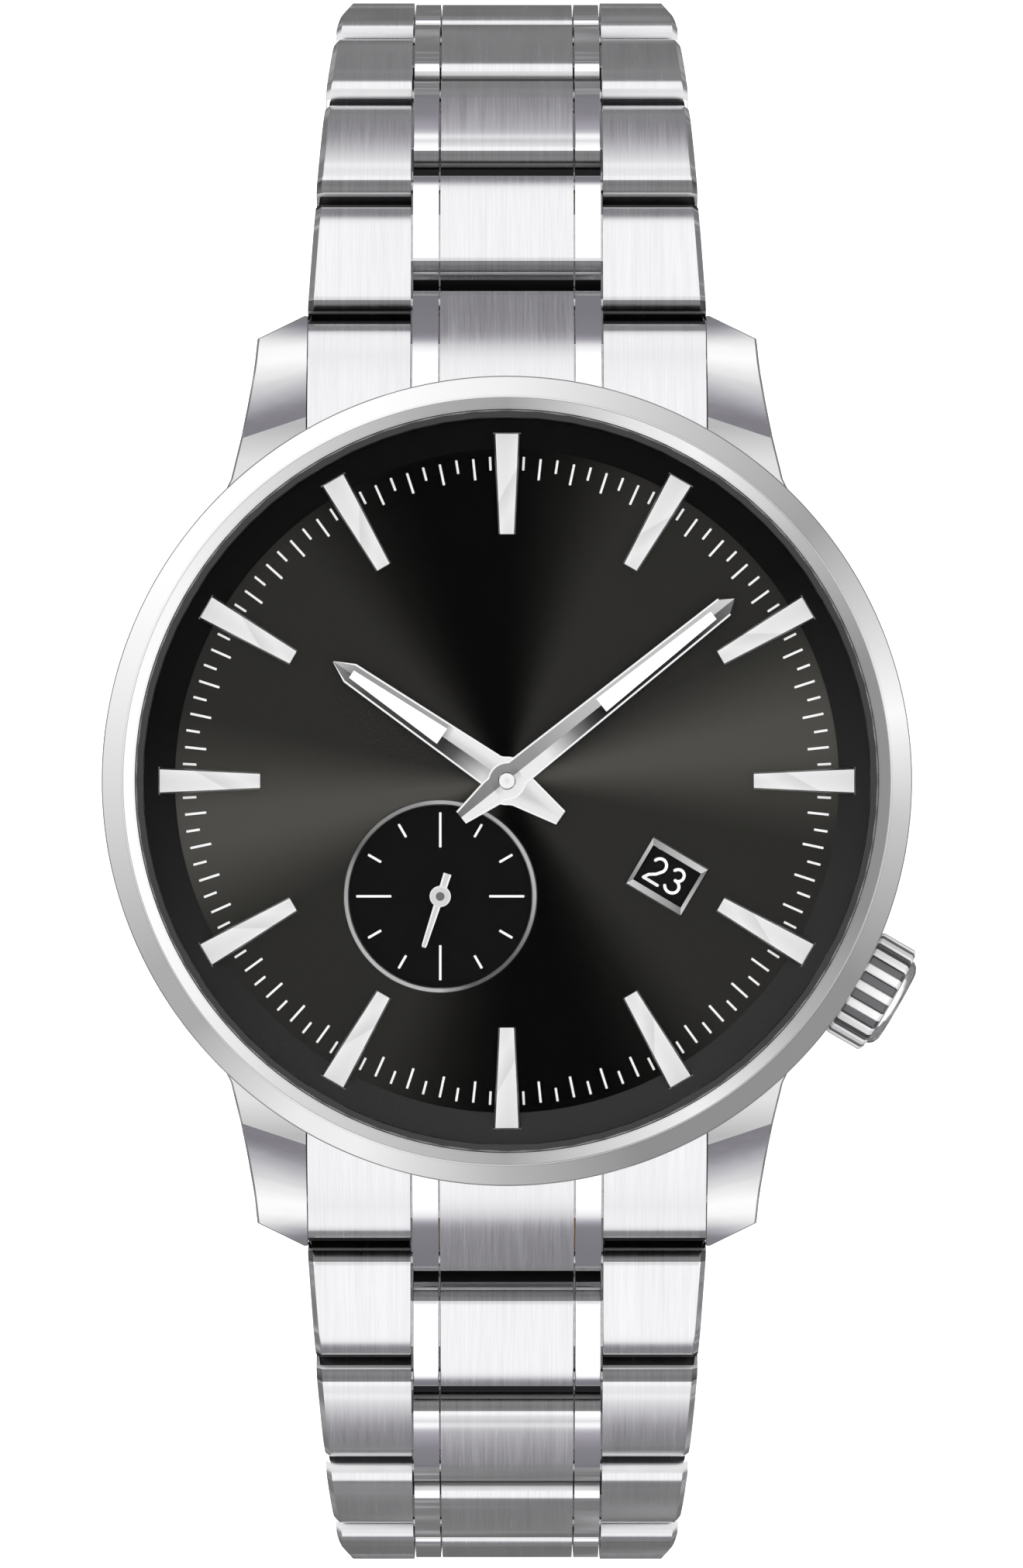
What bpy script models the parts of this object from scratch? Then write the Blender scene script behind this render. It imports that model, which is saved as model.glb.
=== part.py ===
"""Men's automatic wristwatch on a steel link bracelet, closed as worn. Metres, +Z out of the dial, +Y to 12 o'clock.

Mesh data is in millimetres and each object is scaled by 0.001 at the end.
"""

import math

import bmesh
import bpy
from mathutils import Matrix

for old in list(bpy.data.objects):
    bpy.data.objects.remove(old)

# ---------------------------------------------------------------- sizes (mm)
PITCH = 7.0
PIN0 = (26.4, 1.0)
HEADINGS = (20, 40, 60, 78, 94, 110, 128, 148, 166)
HALF_C = 5.2  # half width of the centre links
PIN_R, BORE_R = 0.40, 0.46
STEM_Z = 4.9
CROWN_DIR = -30.0  # degrees from +X
SUB = (7.29, 210.0)  # small seconds: radius, clock angle
DATE = (10.19, 120.0)


# ---------------------------------------------------------------- helpers
def solid(name, verts, faces):
    mesh = bpy.data.meshes.new(name)
    mesh.from_pydata(verts, [], faces)
    shape = bmesh.new()
    shape.from_mesh(mesh)
    bmesh.ops.recalc_face_normals(shape, faces=shape.faces)
    shape.to_mesh(mesh)
    shape.free()
    obj = bpy.data.objects.new(name, mesh)
    bpy.context.scene.collection.objects.link(obj)
    return obj


def loft(name, rings):
    n = len(rings[0])
    verts = [tuple(p) for ring in rings for p in ring]
    faces = []
    for k in range(len(rings) - 1):
        a = k * n
        for i in range(n):
            j = (i + 1) % n
            faces.append((a + i, a + j, a + n + j, a + n + i))
    faces.append(tuple(range(n)))
    faces.append(tuple(range(len(verts) - n, len(verts))))
    return solid(name, verts, faces)


def turned(name, profile, n=72):
    """A closed (r, z) profile turned about Z. Points with r = 0 become poles."""
    verts, index = [], []
    for r, z in profile:
        if r == 0:
            index.append([len(verts)] * n)
            verts.append((0, 0, z))
        else:
            index.append(list(range(len(verts), len(verts) + n)))
            for k in range(n):
                t = 2 * math.pi * k / n
                verts.append((r * math.cos(t), r * math.sin(t), z))
    faces = []
    for i in range(len(profile)):
        a, b = index[i], index[(i + 1) % len(profile)]
        for k in range(n):
            m = (k + 1) % n
            face = [a[k], a[m], b[m], b[k]]
            face = [v for j, v in enumerate(face) if v not in face[:j]]
            if len(face) > 2:
                faces.append(tuple(face))
    return solid(name, verts, faces)


def prism_z(name, outline, z0, z1):
    return loft(name, [[(x, y, z0) for x, y in outline], [(x, y, z1) for x, y in outline]])


def box(name, x0, x1, y0, y1, z0, z1):
    return prism_z(name, [(x0, y0), (x1, y0), (x1, y1), (x0, y1)], z0, z1)


def circle(r, n, cx=0.0, cy=0.0):
    return [(cx + r * math.cos(2 * math.pi * k / n), cy + r * math.sin(2 * math.pi * k / n)) for k in range(n)]


def rod(name, y, z, r, x0, x1, n=16):
    return loft(name, [[(x, y + a, z + b) for a, b in circle(r, n)] for x in (x0, x1)])


def combine(a, b, operation):
    step = a.modifiers.new("step", "BOOLEAN")
    step.operation, step.solver, step.object = operation, "MANIFOLD", b
    graph = bpy.context.evaluated_depsgraph_get()
    made = bpy.data.meshes.new_from_object(a.evaluated_get(graph))
    a.modifiers.clear()
    a.data = made
    bpy.data.objects.remove(b)
    return a


def union(a, *more):
    for b in more:
        combine(a, b, "UNION")
    return a


def cut(a, *more):
    for b in more:
        combine(a, b, "DIFFERENCE")
    return a


def place(obj, matrix):
    obj.data.transform(matrix)
    return obj


def turn(obj, degrees):
    return place(obj, Matrix.Rotation(math.radians(degrees), 4, "Z"))


def clock(obj, angle):
    return turn(obj, -angle)


def polar(r, angle):
    """A point at a clock angle from 12."""
    t = math.radians(angle)
    return r * math.sin(t), r * math.cos(t)


def ridged(name, stations, z0, edge, ridge):
    """A bar along +Y with a flat bottom and two sloping top facets; stations are (y, half width)."""
    rings = []
    for y, w in stations:
        k = min(1.0, w / 0.5)
        rings.append([(-w, y, z0), (w, y, z0), (w, y, z0 + edge), (0, y, z0 + edge + (ridge - edge) * k), (-w, y, z0 + edge)])
    return loft(name, rings)


# ---------------------------------------------------------------- case
def lug(name, sx, sy):
    rows = (
        # y, outer x, bottom z, top z
        (12.0, 17.6, 1.3, 7.25),
        (15.2, 15.65, 1.3, 7.14),
        (17.0, 15.05, 1.0, 7.0),
        (19.3, 14.52, 0.5, 6.72),
        (20.6, 14.22, 0.15, 5.5),
        (21.8, 13.98, -0.1, 4.58),
        (23.0, 13.73, -0.25, 3.82),
        (23.6, 13.65, -0.35, 3.38),
        (24.1, 13.6, -0.35, 2.93),
        (24.8, 12.15, -0.2, 2.0),
        (25.35, 11.1, 0.1, 1.2),
    )
    rings = [[(11.0, y, b), (x, y, b), (x, y, t), (11.0, y, t)] for y, x, b, t in rows]
    return loft(name, [[(sx * x, sy * y, z) for x, y, z in ring] for ring in rings])


def along_stem(obj):
    """From built along +X to the 4 o'clock direction at the stem's height."""
    return place(obj, Matrix.Translation((0, 0, STEM_Z)) @ Matrix.Rotation(math.radians(CROWN_DIR), 4, "Z"))


def radial_rod(name, r, a, b, n=20):
    return along_stem(rod_x(name, r, a, b, n))


def rod_x(name, r, a, b, n=20):
    return loft(name, [[(x, p, q) for p, q in circle(r, n)] for x in (a, b)])


case = turned("case_middle", [(0, 0.9), (20.7, 0.9), (21.6, 1.8), (21.6, 7.7), (21.3, 8.0), (0, 8.0)], 84)
union(case, *[lug("lug", sx, sy) for sx in (1, -1) for sy in (1, -1)])
cut(case, turned("bore", [(0, 0.5), (18.2, 0.5), (18.2, 6.4), (20.0, 6.4), (20.0, 8.4), (0, 8.4)], 72))
cut(case, turned("groove", [(18.55, 0.6), (19.15, 0.6), (19.15, 1.3), (18.55, 1.3)], 48))
cut(case, radial_rod("tube_hole", 1.15, 17.5, 22.5))
for s in (1, -1):
    cut(case, rod("bar_holes", s * 22.9, 1.8, 0.85, -12.35, 12.35, 16))

turned("case_back", [(12.4, 0.15), (18.9, 0.15), (19.4, 0.45), (19.4, 0.8), (18.05, 0.8), (18.05, 2.2), (13.1, 2.2), (13.1, 0.95), (12.4, 0.95)], 60)
for k in range(6):
    cut(bpy.data.objects["case_back"], turn(box("notch", 16.2, 17.6, -0.8, 0.8, 0.0, 0.55), 60 * k + 15))
turned("case_back_glass", [(0, 0), (12.3, 0), (12.3, 1.0), (13.0, 1.0), (13.0, 1.5), (0, 1.5)], 60)
turned("case_back_gasket", [(18.62, 0.86), (19.08, 0.86), (19.08, 1.24), (18.62, 1.24)], 48)

turned("bezel", [(20.2, 8.1), (21.6, 8.1), (22.05, 8.45), (22.05, 9.3), (21.6, 9.75), (20.95, 10.15), (20.88, 10.05), (20.8, 10.15), (20.3, 10.35), (20.2, 10.25)], 96)
turned("crystal", [(0, 8.9), (19.72, 8.9), (19.72, 10.1), (19.4, 10.3), (10, 10.65), (0, 10.75)], 72)
turned("crystal_gasket", [(19.8, 8.45), (20.12, 8.45), (20.12, 10.15), (19.8, 10.1)], 72)

along_stem(cut(rod_x("crown_tube", 1.1, 18.4, 22.9), rod_x("bore", 0.6, 17, 24)))

# ---------------------------------------------------------------- dial side
dial = turned("dial", [(0, 6.45), (19.85, 6.45), (19.85, 6.85), (0, 6.85)], 72)
sub_x, sub_y = polar(*SUB)
cut(dial, prism_z("recess", circle(5.03, 64, sub_x, sub_y), 6.7, 7.2))
cut(dial, prism_z("hole", circle(0.9, 20), 6, 7.2), prism_z("hole", circle(0.3, 12, sub_x, sub_y), 6, 7.2))
cut(dial, clock(box("window", -1.06, 1.06, DATE[0] - 1.48, DATE[0] + 1.48, 6, 7.2), DATE[1]))

MARK = [(13.47, 0.465), (18.98, 0.725)]
marks = turned("hour_marker_ring", [(18.98, 6.92), (19.25, 6.92), (19.25, 7.3), (18.98, 7.3)], 60)
for k in range(12):
    union(marks, clock(ridged("mark", MARK, 6.9, 0.5, 0.85), 30 * k), clock(box("foot", -0.4, 0.4, 18.8, 19.1, 6.93, 7.29), 30 * k))
flange = turned("flange_ring", [(18.15, 6.9), (18.85, 6.9), (18.85, 7.36), (19.35, 7.36), (19.35, 6.9), (19.9, 6.9), (19.9, 8.35), (19.8, 8.35)], 72)
for k in range(12):
    cut(flange, clock(loft("slot", [[(-w, y, 6.5), (w, y, 6.5), (w, y, 9), (-w, y, 9)] for y, w in ((17.5, 0.7), (19.03, 0.78))]), 30 * k))

rim = cut(prism_z("small_seconds_rim", circle(5.31, 64, sub_x, sub_y), 6.87, 7.06), prism_z("hole", circle(5.06, 64, sub_x, sub_y), 6, 8))
frame = cut(box("date_frame", -1.49, 1.49, DATE[0] - 1.74, DATE[0] + 1.74, 6.87, 7.12), box("hole", -1.06, 1.06, DATE[0] - 1.48, DATE[0] + 1.48, 6, 8))
clock(frame, DATE[1])


def hand(name, stations, z0, top, hub, pipe_r, pipe_hole, pipe_z, angle):
    obj = ridged(name, stations, z0, 0.1, 0.2)
    union(obj, turned("hub", [(0, z0 + 0.01), (hub, z0 + 0.01), (hub, z0 + 0.16), (hub - 0.25, top), (0, top)], 32))
    union(obj, prism_z("pipe", circle(pipe_r, 20), pipe_z, z0 + 0.1))
    if pipe_hole:
        cut(obj, prism_z("hole", circle(pipe_hole, 20), pipe_z - 1, top + 1))
    return clock(obj, angle)


hand("hour_hand", [(-3.56, 0.425), (-1.0, 1.1), (1.0, 1.1), (10.4, 0.6), (11.5, 0.04)], 7.44, 7.66, 1.33, 0.78, 0.56, 6.3, 304.5)
hand("minute_hand", [(-3.2, 0.4), (-1.0, 0.95), (1.0, 0.98), (15.2, 0.575), (15.9, 0.04)], 7.86, 8.3, 1.04, 0.46, 0, 5.2, 51.3)
seconds = hand("small_seconds_hand", [(-1.3, 0.17), (0.5, 0.24), (2.93, 0.06)], 7.1, 7.36, 0.58, 0.16, 0, 5.4, 198)
place(seconds, Matrix.Translation((sub_x, sub_y, 0)))
wheel = turned("date_wheel", [(8.6, 6.2), (11.8, 6.2), (11.8, 6.36), (8.6, 6.36)], 62)
for k in range(31):
    cut(wheel, turn(box("tooth_gap", 8.45, 8.8, -0.55, 0.55, 6.1, 6.5), 360 * (k + 0.5) / 31))

# ---------------------------------------------------------------- movement
holder = turned("movement_holder", [(13.1, 2.35), (18.05, 2.35), (18.05, 6.3), (13.1, 6.3)], 56)
cut(holder, radial_rod("slot", 0.7, 12, 19, 16))
plate = turned("movement_plate", [(0, 4.5), (13.0, 4.5), (13.0, 6.1), (0, 6.1)], 56)
cut(plate, radial_rod("slot", 0.7, 9.2, 14, 16), prism_z("hole", circle(0.56, 16), 4, 7), prism_z("hole", circle(0.26, 12, sub_x, sub_y), 4, 7))
BAL = (-6.2, 4.6)
bridge = turned("train_bridge", [(0, 3.1), (12.7, 3.1), (12.7, 4.45), (0, 4.45)], 56)
cut(bridge, prism_z("balance_well", circle(4.9, 40, *BAL), 2, 6))
union(bridge, prism_z("rotor_post", circle(0.9, 24), 1.95, 3.3))
wheel = turned("balance_wheel", [(3.5, 3.75), (4.1, 3.75), (4.1, 4.15), (3.5, 4.15)], 48)
union(wheel, box("arm", -3.7, 3.7, -0.3, 0.3, 3.8, 4.1), turned("staff", [(0, 3.56), (0.22, 3.56), (0.22, 4.42), (0, 4.42)], 12))
place(wheel, Matrix.Translation((*BAL, 0)))
cock = prism_z("balance_cock", [(-4.6, -0.9), (0.6, -1.1), (0.9, 0), (0.6, 1.1), (-4.6, 0.9)], 3.12, 3.5)
union(cock, box("foot", -4.75, -4.3, -0.85, 0.85, 3.15, 4.46))
place(cock, Matrix.Translation((*BAL, 0)) @ Matrix.Rotation(math.radians(30), 4, "Z"))
rotor = turned("rotor", [(1.0, 2.45), (12.5, 2.45), (12.5, 2.85), (1.0, 2.85)], 56)
union(rotor, turned("weight", [(9.6, 1.85), (12.5, 1.85), (12.5, 2.8), (9.6, 2.8)], 56))
cut(rotor, box("half", -14, 14, -14, -0.0, 1, 4))
union(rotor, turned("hub", [(1.0, 2.1), (2.6, 2.1), (2.6, 2.84), (1.0, 2.84)], 40))
turn(rotor, 20)

along_stem(rod_x("winding_stem", 0.45, 9.6, 23.95, 16))
flutes = []
for k in range(54):
    t, r = 2 * math.pi * k / 54, (3.08, 3.08, 2.86)[k % 3]
    flutes.append((r * math.cos(t), r * math.sin(t)))
crown = loft("crown", [[(x, p * g, q * g) for p, q in flutes] for x, g in ((21.95, 0.96), (22.15, 1.0), (24.05, 1.0), (24.2, 0.95), (24.55, 0.8), (24.7, 0.72))])
cut(crown, rod_x("skirt", 1.25, 21, 23.3, 24), rod_x("seat", 0.5, 22, 24.0, 16))
along_stem(crown)


# ---------------------------------------------------------------- bracelet
def frame_at(side, y, z, heading):
    h = math.radians(heading)

    def to_world(u, v, x):
        return x, side * (y + u * math.cos(h) + v * math.sin(h)), z - u * math.sin(h) + v * math.cos(h)

    return to_world


def bar(name, to_world, outline, x0, x1):
    """An outline in (along, outward) extruded across; x0 and x1 are numbers or functions of the position along."""
    ends = [x if callable(x) else (lambda u, x=x: x) for x in (x0, x1)]
    return loft(name, [[to_world(u, v, end(u)) for u, v in outline] for end in ends])


def arc(cu, cv, r, a0, a1, n):
    return [(cu + r * math.cos(math.radians(a0 + (a1 - a0) * k / n)), cv + r * math.sin(math.radians(a0 + (a1 - a0) * k / n))) for k in range(n + 1)]


def link_outline(u0, u1, far_round, near_round):
    """Side view from u0 to u1: a full shoulder at the near end, a crowned top, and a small edge at the far end."""
    points = arc(u0 + 0.9, 0.4, 0.9, 180, 100, 3)
    a, b = u0 + 0.9, u1 - 0.1
    for k in range(1, 5):
        u = a + (b - a) * k / 4
        points.append((u, 1.3 + 0.15 * (1 - (2 * (u - a) / (b - a) - 1) ** 2)))
    points.append((u1, 1.18))
    points += arc(u1 - far_round, -1.3 + far_round, far_round, 0, -90, 2)
    points += arc(u0 + near_round, -1.3 + near_round, near_round, -90, -180, 2)
    return points


def tube(to_world, u, v, r, x0, x1, n):
    return loft("tube", [[to_world(u + a, v + b, x) for a, b in circle(r, n)] for x in (x0, x1)])


def half_width(k):
    return max(9.0, 10.95 - 0.45 * k)


def link(side, row, y, z, heading, last_open):
    at = frame_at(side, y, z, heading)
    w0, w1 = half_width(row - 1), half_width(row)
    reach = PITCH - 0.5 if last_open else PITCH + 0.8
    name = f"link_{'12' if side > 0 else '6'}_{row}"
    obj = bar(name, at, link_outline(1.35, reach, 0.6, 0.3), -HALF_C, HALF_C)
    outer = link_outline(-0.8, PITCH - 1.35, 0.3, 0.6)
    for sx in (1, -1):
        union(obj, bar("outer", at, outer, sx * (HALF_C + 0.1), lambda u, sx=sx: sx * (w0 + (w1 - w0) * u / PITCH)))
    union(obj, bar("bridge", at, [(2.2, -1.1), (5.0, -1.1), (5.0, 0.8), (2.2, 0.8)], -HALF_C - 0.4, HALF_C + 0.4))
    union(obj, tube(at, 0, 0, PIN_R, -HALF_C - 0.4, HALF_C + 0.4, 12))
    if not last_open:
        cut(obj, tube(at, PITCH, 0, BORE_R, -HALF_C - 0.05, HALF_C + 0.05, 16))
    return obj


def end_link(side):
    at = frame_at(side, 0, 0, 0)
    top = [(18.6, 6.1), (20.4, 5.75), (22.0, 4.85), (23.3, 3.95)]
    outer = [(18.6, 0.2), *top, (24.3, 3.15), (24.85, 2.65), (25.05, 2.35), (25.05, -0.1), (24.8, -0.3), (21.0, -0.3)]
    centre = [(18.6, 0.2), *top, (24.4, 3.2), (25.6, 2.72), (26.6, 2.42), (27.1, 2.3), (27.2, 2.2)]
    centre += arc(27.2 - 0.6, 0.3, 0.6, 0, -90, 3) + [(21.0, -0.3)]
    obj = bar(f"end_link_{'12' if side > 0 else '6'}", at, centre, -HALF_C, HALF_C)
    for sx in (1, -1):
        union(obj, bar("outer", at, outer, sx * (HALF_C + 0.1), sx * 10.94))
    union(obj, bar("bridge", at, [(19, 0.3), (24.2, -0.1), (24.2, 2.6), (19, 5.2)], -HALF_C - 0.4, HALF_C + 0.4))
    cut(obj, turned("case_side", [(0, -2), (21.75, -2), (21.75, 7.95), (0, 7.95)], 96))
    cut(obj, tube(at, 22.9, 1.8, 0.85, -12, 12, 16), tube(at, *PIN0, BORE_R, -HALF_C - 0.05, HALF_C + 0.05, 16))
    return obj


for side in (1, -1):
    end_link(side)
    rod(f"spring_bar_{'12' if side > 0 else '6'}", side * 22.9, 1.8, 0.75, -12.2, 12.2, 12)
    y, z = PIN0
    for row, heading in enumerate(HEADINGS, 1):
        link(side, row, y, z, heading, side < 0 and row == 9)
        y, z = y + PITCH * math.cos(math.radians(heading)), z - PITCH * math.sin(math.radians(heading))
END_Y, END_Z = y, z
SPAN = 2 * END_Y

# ---------------------------------------------------------------- folding clasp
at = frame_at(1, END_Y, END_Z, 180)
R_AT, L_AT = (SPAN - 5.4, 0.45), (5.0, -0.35)
cover_end = R_AT[0] + 0.45
plate = [(1.35, 1.6), (1.75, 2.2), (2.4, 2.45), (cover_end - 0.6, 2.45), (cover_end - 0.1, 2.2), (cover_end, 1.6), (cover_end, 1.4), (1.35, 1.4)]
ear = [(-0.8, -0.2), (-0.8, 0.5), (-0.5, 1.2), (0.2, 1.85), (1.2, 2.3), (2.4, 2.45), (3.4, 2.45), (3.4, 1.3), (2.4, -0.9), (-0.2, -1.0)]
cover = bar("clasp_cover", at, plate, -9.2, 9.2)
for sx in (1, -1):
    union(cover, bar("ear", at, ear, sx * (HALF_C + 0.15), sx * 9.2))
    union(cover, bar("wall", at, [(2.0, -0.9), (2.0, 1.6), (cover_end - 0.1, 1.6), (cover_end - 0.1, -0.2), (cover_end - 0.8, -0.9)], sx * 8.3, sx * 9.2))
cut(cover, tube(at, 0, 0, BORE_R, -8.95, 8.95, 16), tube(at, *R_AT, 0.42, -8.95, 8.95, 16))
cut(cover, bar("button_ways", at, [(27.4, -0.5), (31.6, -0.5), (31.6, 1.1), (27.4, 1.1)], -10, 10))
tube(at, 0, 0, PIN_R, -8.85, 8.85, 12).name = "clasp_spring_bar"
tube(at, *R_AT, 0.36, -8.85, 8.85, 12).name = "clasp_hinge_pin"

blade_a = bar("clasp_blade_a", at, [(4.6, 0.0), (4.6, 0.8), (R_AT[0], 0.85), (R_AT[0], 0.1), (R_AT[0] - 1.5, 0.0)], -7.2, 7.2)
cut(blade_a, bar("window", at, [(12, -1), (34, -1), (34, 2), (12, 2)], -3.6, 3.6))
union(blade_a, tube(at, *R_AT, 0.8, -7.9, 7.9, 20))
for sx in (1, -1):
    union(blade_a, tube(at, *L_AT, 0.75, sx * 3.6, sx * 7.2, 20))
cut(blade_a, bar("fold_room", at, [(3.5, -1.5), (6.0, -1.5), (6.0, 1.5), (3.5, 1.5)], -3.6, 3.6))
cut(blade_a, tube(at, *R_AT, 0.42, -8, 8, 16), tube(at, *L_AT, 0.42, -7.3, 7.3, 16))
tube(at, *L_AT, 0.36, -7.1, 7.1, 12).name = "clasp_fold_pin"

blade_b = bar("clasp_blade_b", at, [(6.3, -1.35), (6.3, -0.55), (43.2, -0.55), (44.6, 0.3), (SPAN - 1.45, 0.4), (SPAN - 1.45, -0.35), (44.9, -0.5), (43.5, -1.35)], -6.8, 6.8)
cut(blade_b, bar("window", at, [(13, -2), (38, -2), (38, 2), (13, 2)], -3.2, 3.2))
union(blade_b, tube(at, *L_AT, 0.75, -3.4, 3.4, 20), bar("web", at, [(4.9, -1.09), (7.0, -1.35), (7.0, -0.55), (5.0, -0.5)], -3.4, 3.4))
for sx in (1, -1):
    union(blade_b, bar("ear", at, [(44.8, -0.4), (44.8, 0.35), *arc(SPAN, 0, 0.75, 105, -105, 8)], sx * 5.35, sx * 6.8))
union(blade_b, tube(at, SPAN, 0, PIN_R, -5.6, 5.6, 12))
cut(blade_b, tube(at, *L_AT, 0.42, -3.5, 3.5, 16))
for sx, name in ((1, "clasp_button_3"), (-1, "clasp_button_9")):
    button = bar(name, at, [(27.5, -0.4), (31.5, -0.4), (31.5, 1.0), (27.5, 1.0)], sx * 7.95, sx * 9.85)

for obj in bpy.data.objects:
    obj.data.name = obj.name
    obj.scale = (0.001, 0.001, 0.001)
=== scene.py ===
"""Looks of the wristwatch: pieces are built in millimetres and scaled to metres in the CAD's frame."""

import math

import bmesh
import bpy
from mathutils import Matrix, Vector


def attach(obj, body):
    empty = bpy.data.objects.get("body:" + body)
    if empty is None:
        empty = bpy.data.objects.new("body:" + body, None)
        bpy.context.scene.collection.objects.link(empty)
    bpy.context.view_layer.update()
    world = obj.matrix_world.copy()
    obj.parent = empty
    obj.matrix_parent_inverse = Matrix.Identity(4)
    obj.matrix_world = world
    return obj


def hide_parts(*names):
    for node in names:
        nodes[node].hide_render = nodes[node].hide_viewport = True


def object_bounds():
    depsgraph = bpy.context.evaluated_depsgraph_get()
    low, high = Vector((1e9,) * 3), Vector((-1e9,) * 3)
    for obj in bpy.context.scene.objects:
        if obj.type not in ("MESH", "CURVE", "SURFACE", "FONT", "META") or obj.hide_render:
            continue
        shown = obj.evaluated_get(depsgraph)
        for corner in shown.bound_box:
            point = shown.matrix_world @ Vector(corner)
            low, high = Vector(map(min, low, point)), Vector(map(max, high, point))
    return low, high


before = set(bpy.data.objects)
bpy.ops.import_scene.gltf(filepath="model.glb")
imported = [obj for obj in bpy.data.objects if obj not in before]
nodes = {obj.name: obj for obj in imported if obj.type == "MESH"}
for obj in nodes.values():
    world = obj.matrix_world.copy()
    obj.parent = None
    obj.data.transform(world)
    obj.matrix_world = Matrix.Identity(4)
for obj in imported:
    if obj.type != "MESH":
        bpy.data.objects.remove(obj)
cad_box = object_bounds()

# ---------------------------------------- sizes (mm), as in the CAD
MM = 0.001
CORNERS = ((-1, -1), (1, -1), (1, 1), (-1, 1))
# Bracelet: pin spacing, the first pin's Y and Z, each row's slope down in degrees, the half widths
# of the middle pieces with and without their strips, and the radii of pins and their bores.
PITCH = 7.0
PIN0 = (26.4, 1.0)
HEADINGS = (20, 40, 60, 78, 94, 110, 128, 148, 166)
HALF_C, STRIP = 5.2, 3.72
PIN_R, BORE_R = 0.40, 0.46
# Case: the stem's height, the radius of the middle, and the spring bars' Y, Z, half length and hole radius.
STEM_Z = 4.9
CASE_R = 21.6
BAR_YZ, BAR_HALF, BAR_HOLE_R = (22.9, 1.8), 12.35, 0.85
# Dial: its top, then radius and clock angle of the small seconds and of the date, and the half
# widths and heights of the date window and of its frame.
DIAL_Z = 6.85
SUB = (7.29, 210.0)
DATE = (10.19, 120.85)
WINDOW_HALF, FRAME_HALF = (1.09, 1.52), (1.53, 1.78)
SHOWN_DAY = 23
# Clock angles of the hands.
MIN_A, HOUR_A, SECONDS_A = 51.3, 304.5, 198
# The photograph's scale is that of the plane FOCUS_Z, and the camera stands DISTANCE above it.
FOCUS_Z, DISTANCE = 8.5, 520.0


# ---------------------------------------- mesh helpers
def add_object(name, data):
    obj = bpy.data.objects.new(name, data)
    bpy.context.scene.collection.objects.link(obj)
    return obj


def add_mesh(name, verts, faces):
    mesh = bpy.data.meshes.new(name)
    mesh.from_pydata(verts, [], faces)
    return add_object(name, mesh)


def solid(name, verts, faces):
    """A mesh object whose faces all look outwards."""
    obj = add_mesh(name, verts, faces)
    shape = bmesh.new()
    shape.from_mesh(obj.data)
    bmesh.ops.recalc_face_normals(shape, faces=shape.faces)
    shape.to_mesh(obj.data)
    shape.free()
    return obj


def loft(name, rings):
    """A closed solid through rings of equal length."""
    n = len(rings[0])
    verts = [tuple(p) for ring in rings for p in ring]
    faces = []
    for k in range(len(rings) - 1):
        a = k * n
        for i in range(n):
            j = (i + 1) % n
            faces.append((a + i, a + j, a + n + j, a + n + i))
    faces.append(tuple(range(n)))
    faces.append(tuple(range(len(verts) - n, len(verts))))
    return solid(name, verts, faces)


def turned(name, profile, n=192):
    """A closed profile of (radius, z) turned about Z in n steps."""
    verts, index = [], []
    for r, z in profile:
        if r == 0:
            index.append([len(verts)] * n)
            verts.append((0, 0, z))
        else:
            index.append(list(range(len(verts), len(verts) + n)))
            for k in range(n):
                t = 2 * math.pi * k / n
                verts.append((r * math.cos(t), r * math.sin(t), z))
    faces = []
    for i in range(len(profile)):
        a, b = index[i], index[(i + 1) % len(profile)]
        for k in range(n):
            m = (k + 1) % n
            face = [a[k], a[m], b[m], b[k]]
            face = [v for j, v in enumerate(face) if v not in face[:j]]
            if len(face) > 2:
                faces.append(tuple(face))
    return solid(name, verts, faces)


def prism_z(name, outline, z0, z1):
    return loft(name, [[(x, y, z0) for x, y in outline], [(x, y, z1) for x, y in outline]])


def box(name, x0, x1, y0, y1, z0, z1):
    return prism_z(name, [(x0, y0), (x1, y0), (x1, y1), (x0, y1)], z0, z1)


def circle(r, n, cx=0.0, cy=0.0):
    turns = [2 * math.pi * k / n for k in range(n)]
    return [(cx + r * math.cos(t), cy + r * math.sin(t)) for t in turns]


def arc(cx, cy, rx, ry, a0, a1, n=10):
    """n + 1 points of an ellipse's arc from a0 to a1 degrees."""
    turns = [math.radians(a0 + (a1 - a0) * k / n) for k in range(n + 1)]
    return [(cx + rx * math.cos(t), cy + ry * math.sin(t)) for t in turns]


def rod_x(name, r, a, b, n=32):
    return loft(name, [[(x, p, q) for p, q in circle(r, n)] for x in (a, b)])


def rounded(part, width):
    """Rounds a CAD object's edges (mm) without touching its mesh."""
    edge = part.modifiers.new("edges", "BEVEL")
    edge.width, edge.segments = width * MM, 2
    edge.limit_method, edge.angle_limit = "ANGLE", math.radians(40)


def combine(a, b, operation):
    step = a.modifiers.new("step", "BOOLEAN")
    step.operation, step.solver, step.object = operation, "MANIFOLD", b
    graph = bpy.context.evaluated_depsgraph_get()
    made = bpy.data.meshes.new_from_object(a.evaluated_get(graph))
    a.modifiers.clear()
    a.data = made
    bpy.data.objects.remove(b)
    return a


def union(a, *more):
    for b in more:
        combine(a, b, "UNION")
    return a


def cut(a, *more):
    for b in more:
        combine(a, b, "DIFFERENCE")
    return a


def place(obj, matrix):
    obj.data.transform(matrix)
    return obj


def clock(obj, angle):
    """Turns an object that points to 12 o'clock to this clock angle."""
    return place(obj, Matrix.Rotation(math.radians(-angle), 4, "Z"))


def polar(r, angle):
    """X and Y of a radius and a clock angle."""
    t = math.radians(angle)
    return r * math.sin(t), r * math.cos(t)


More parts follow.
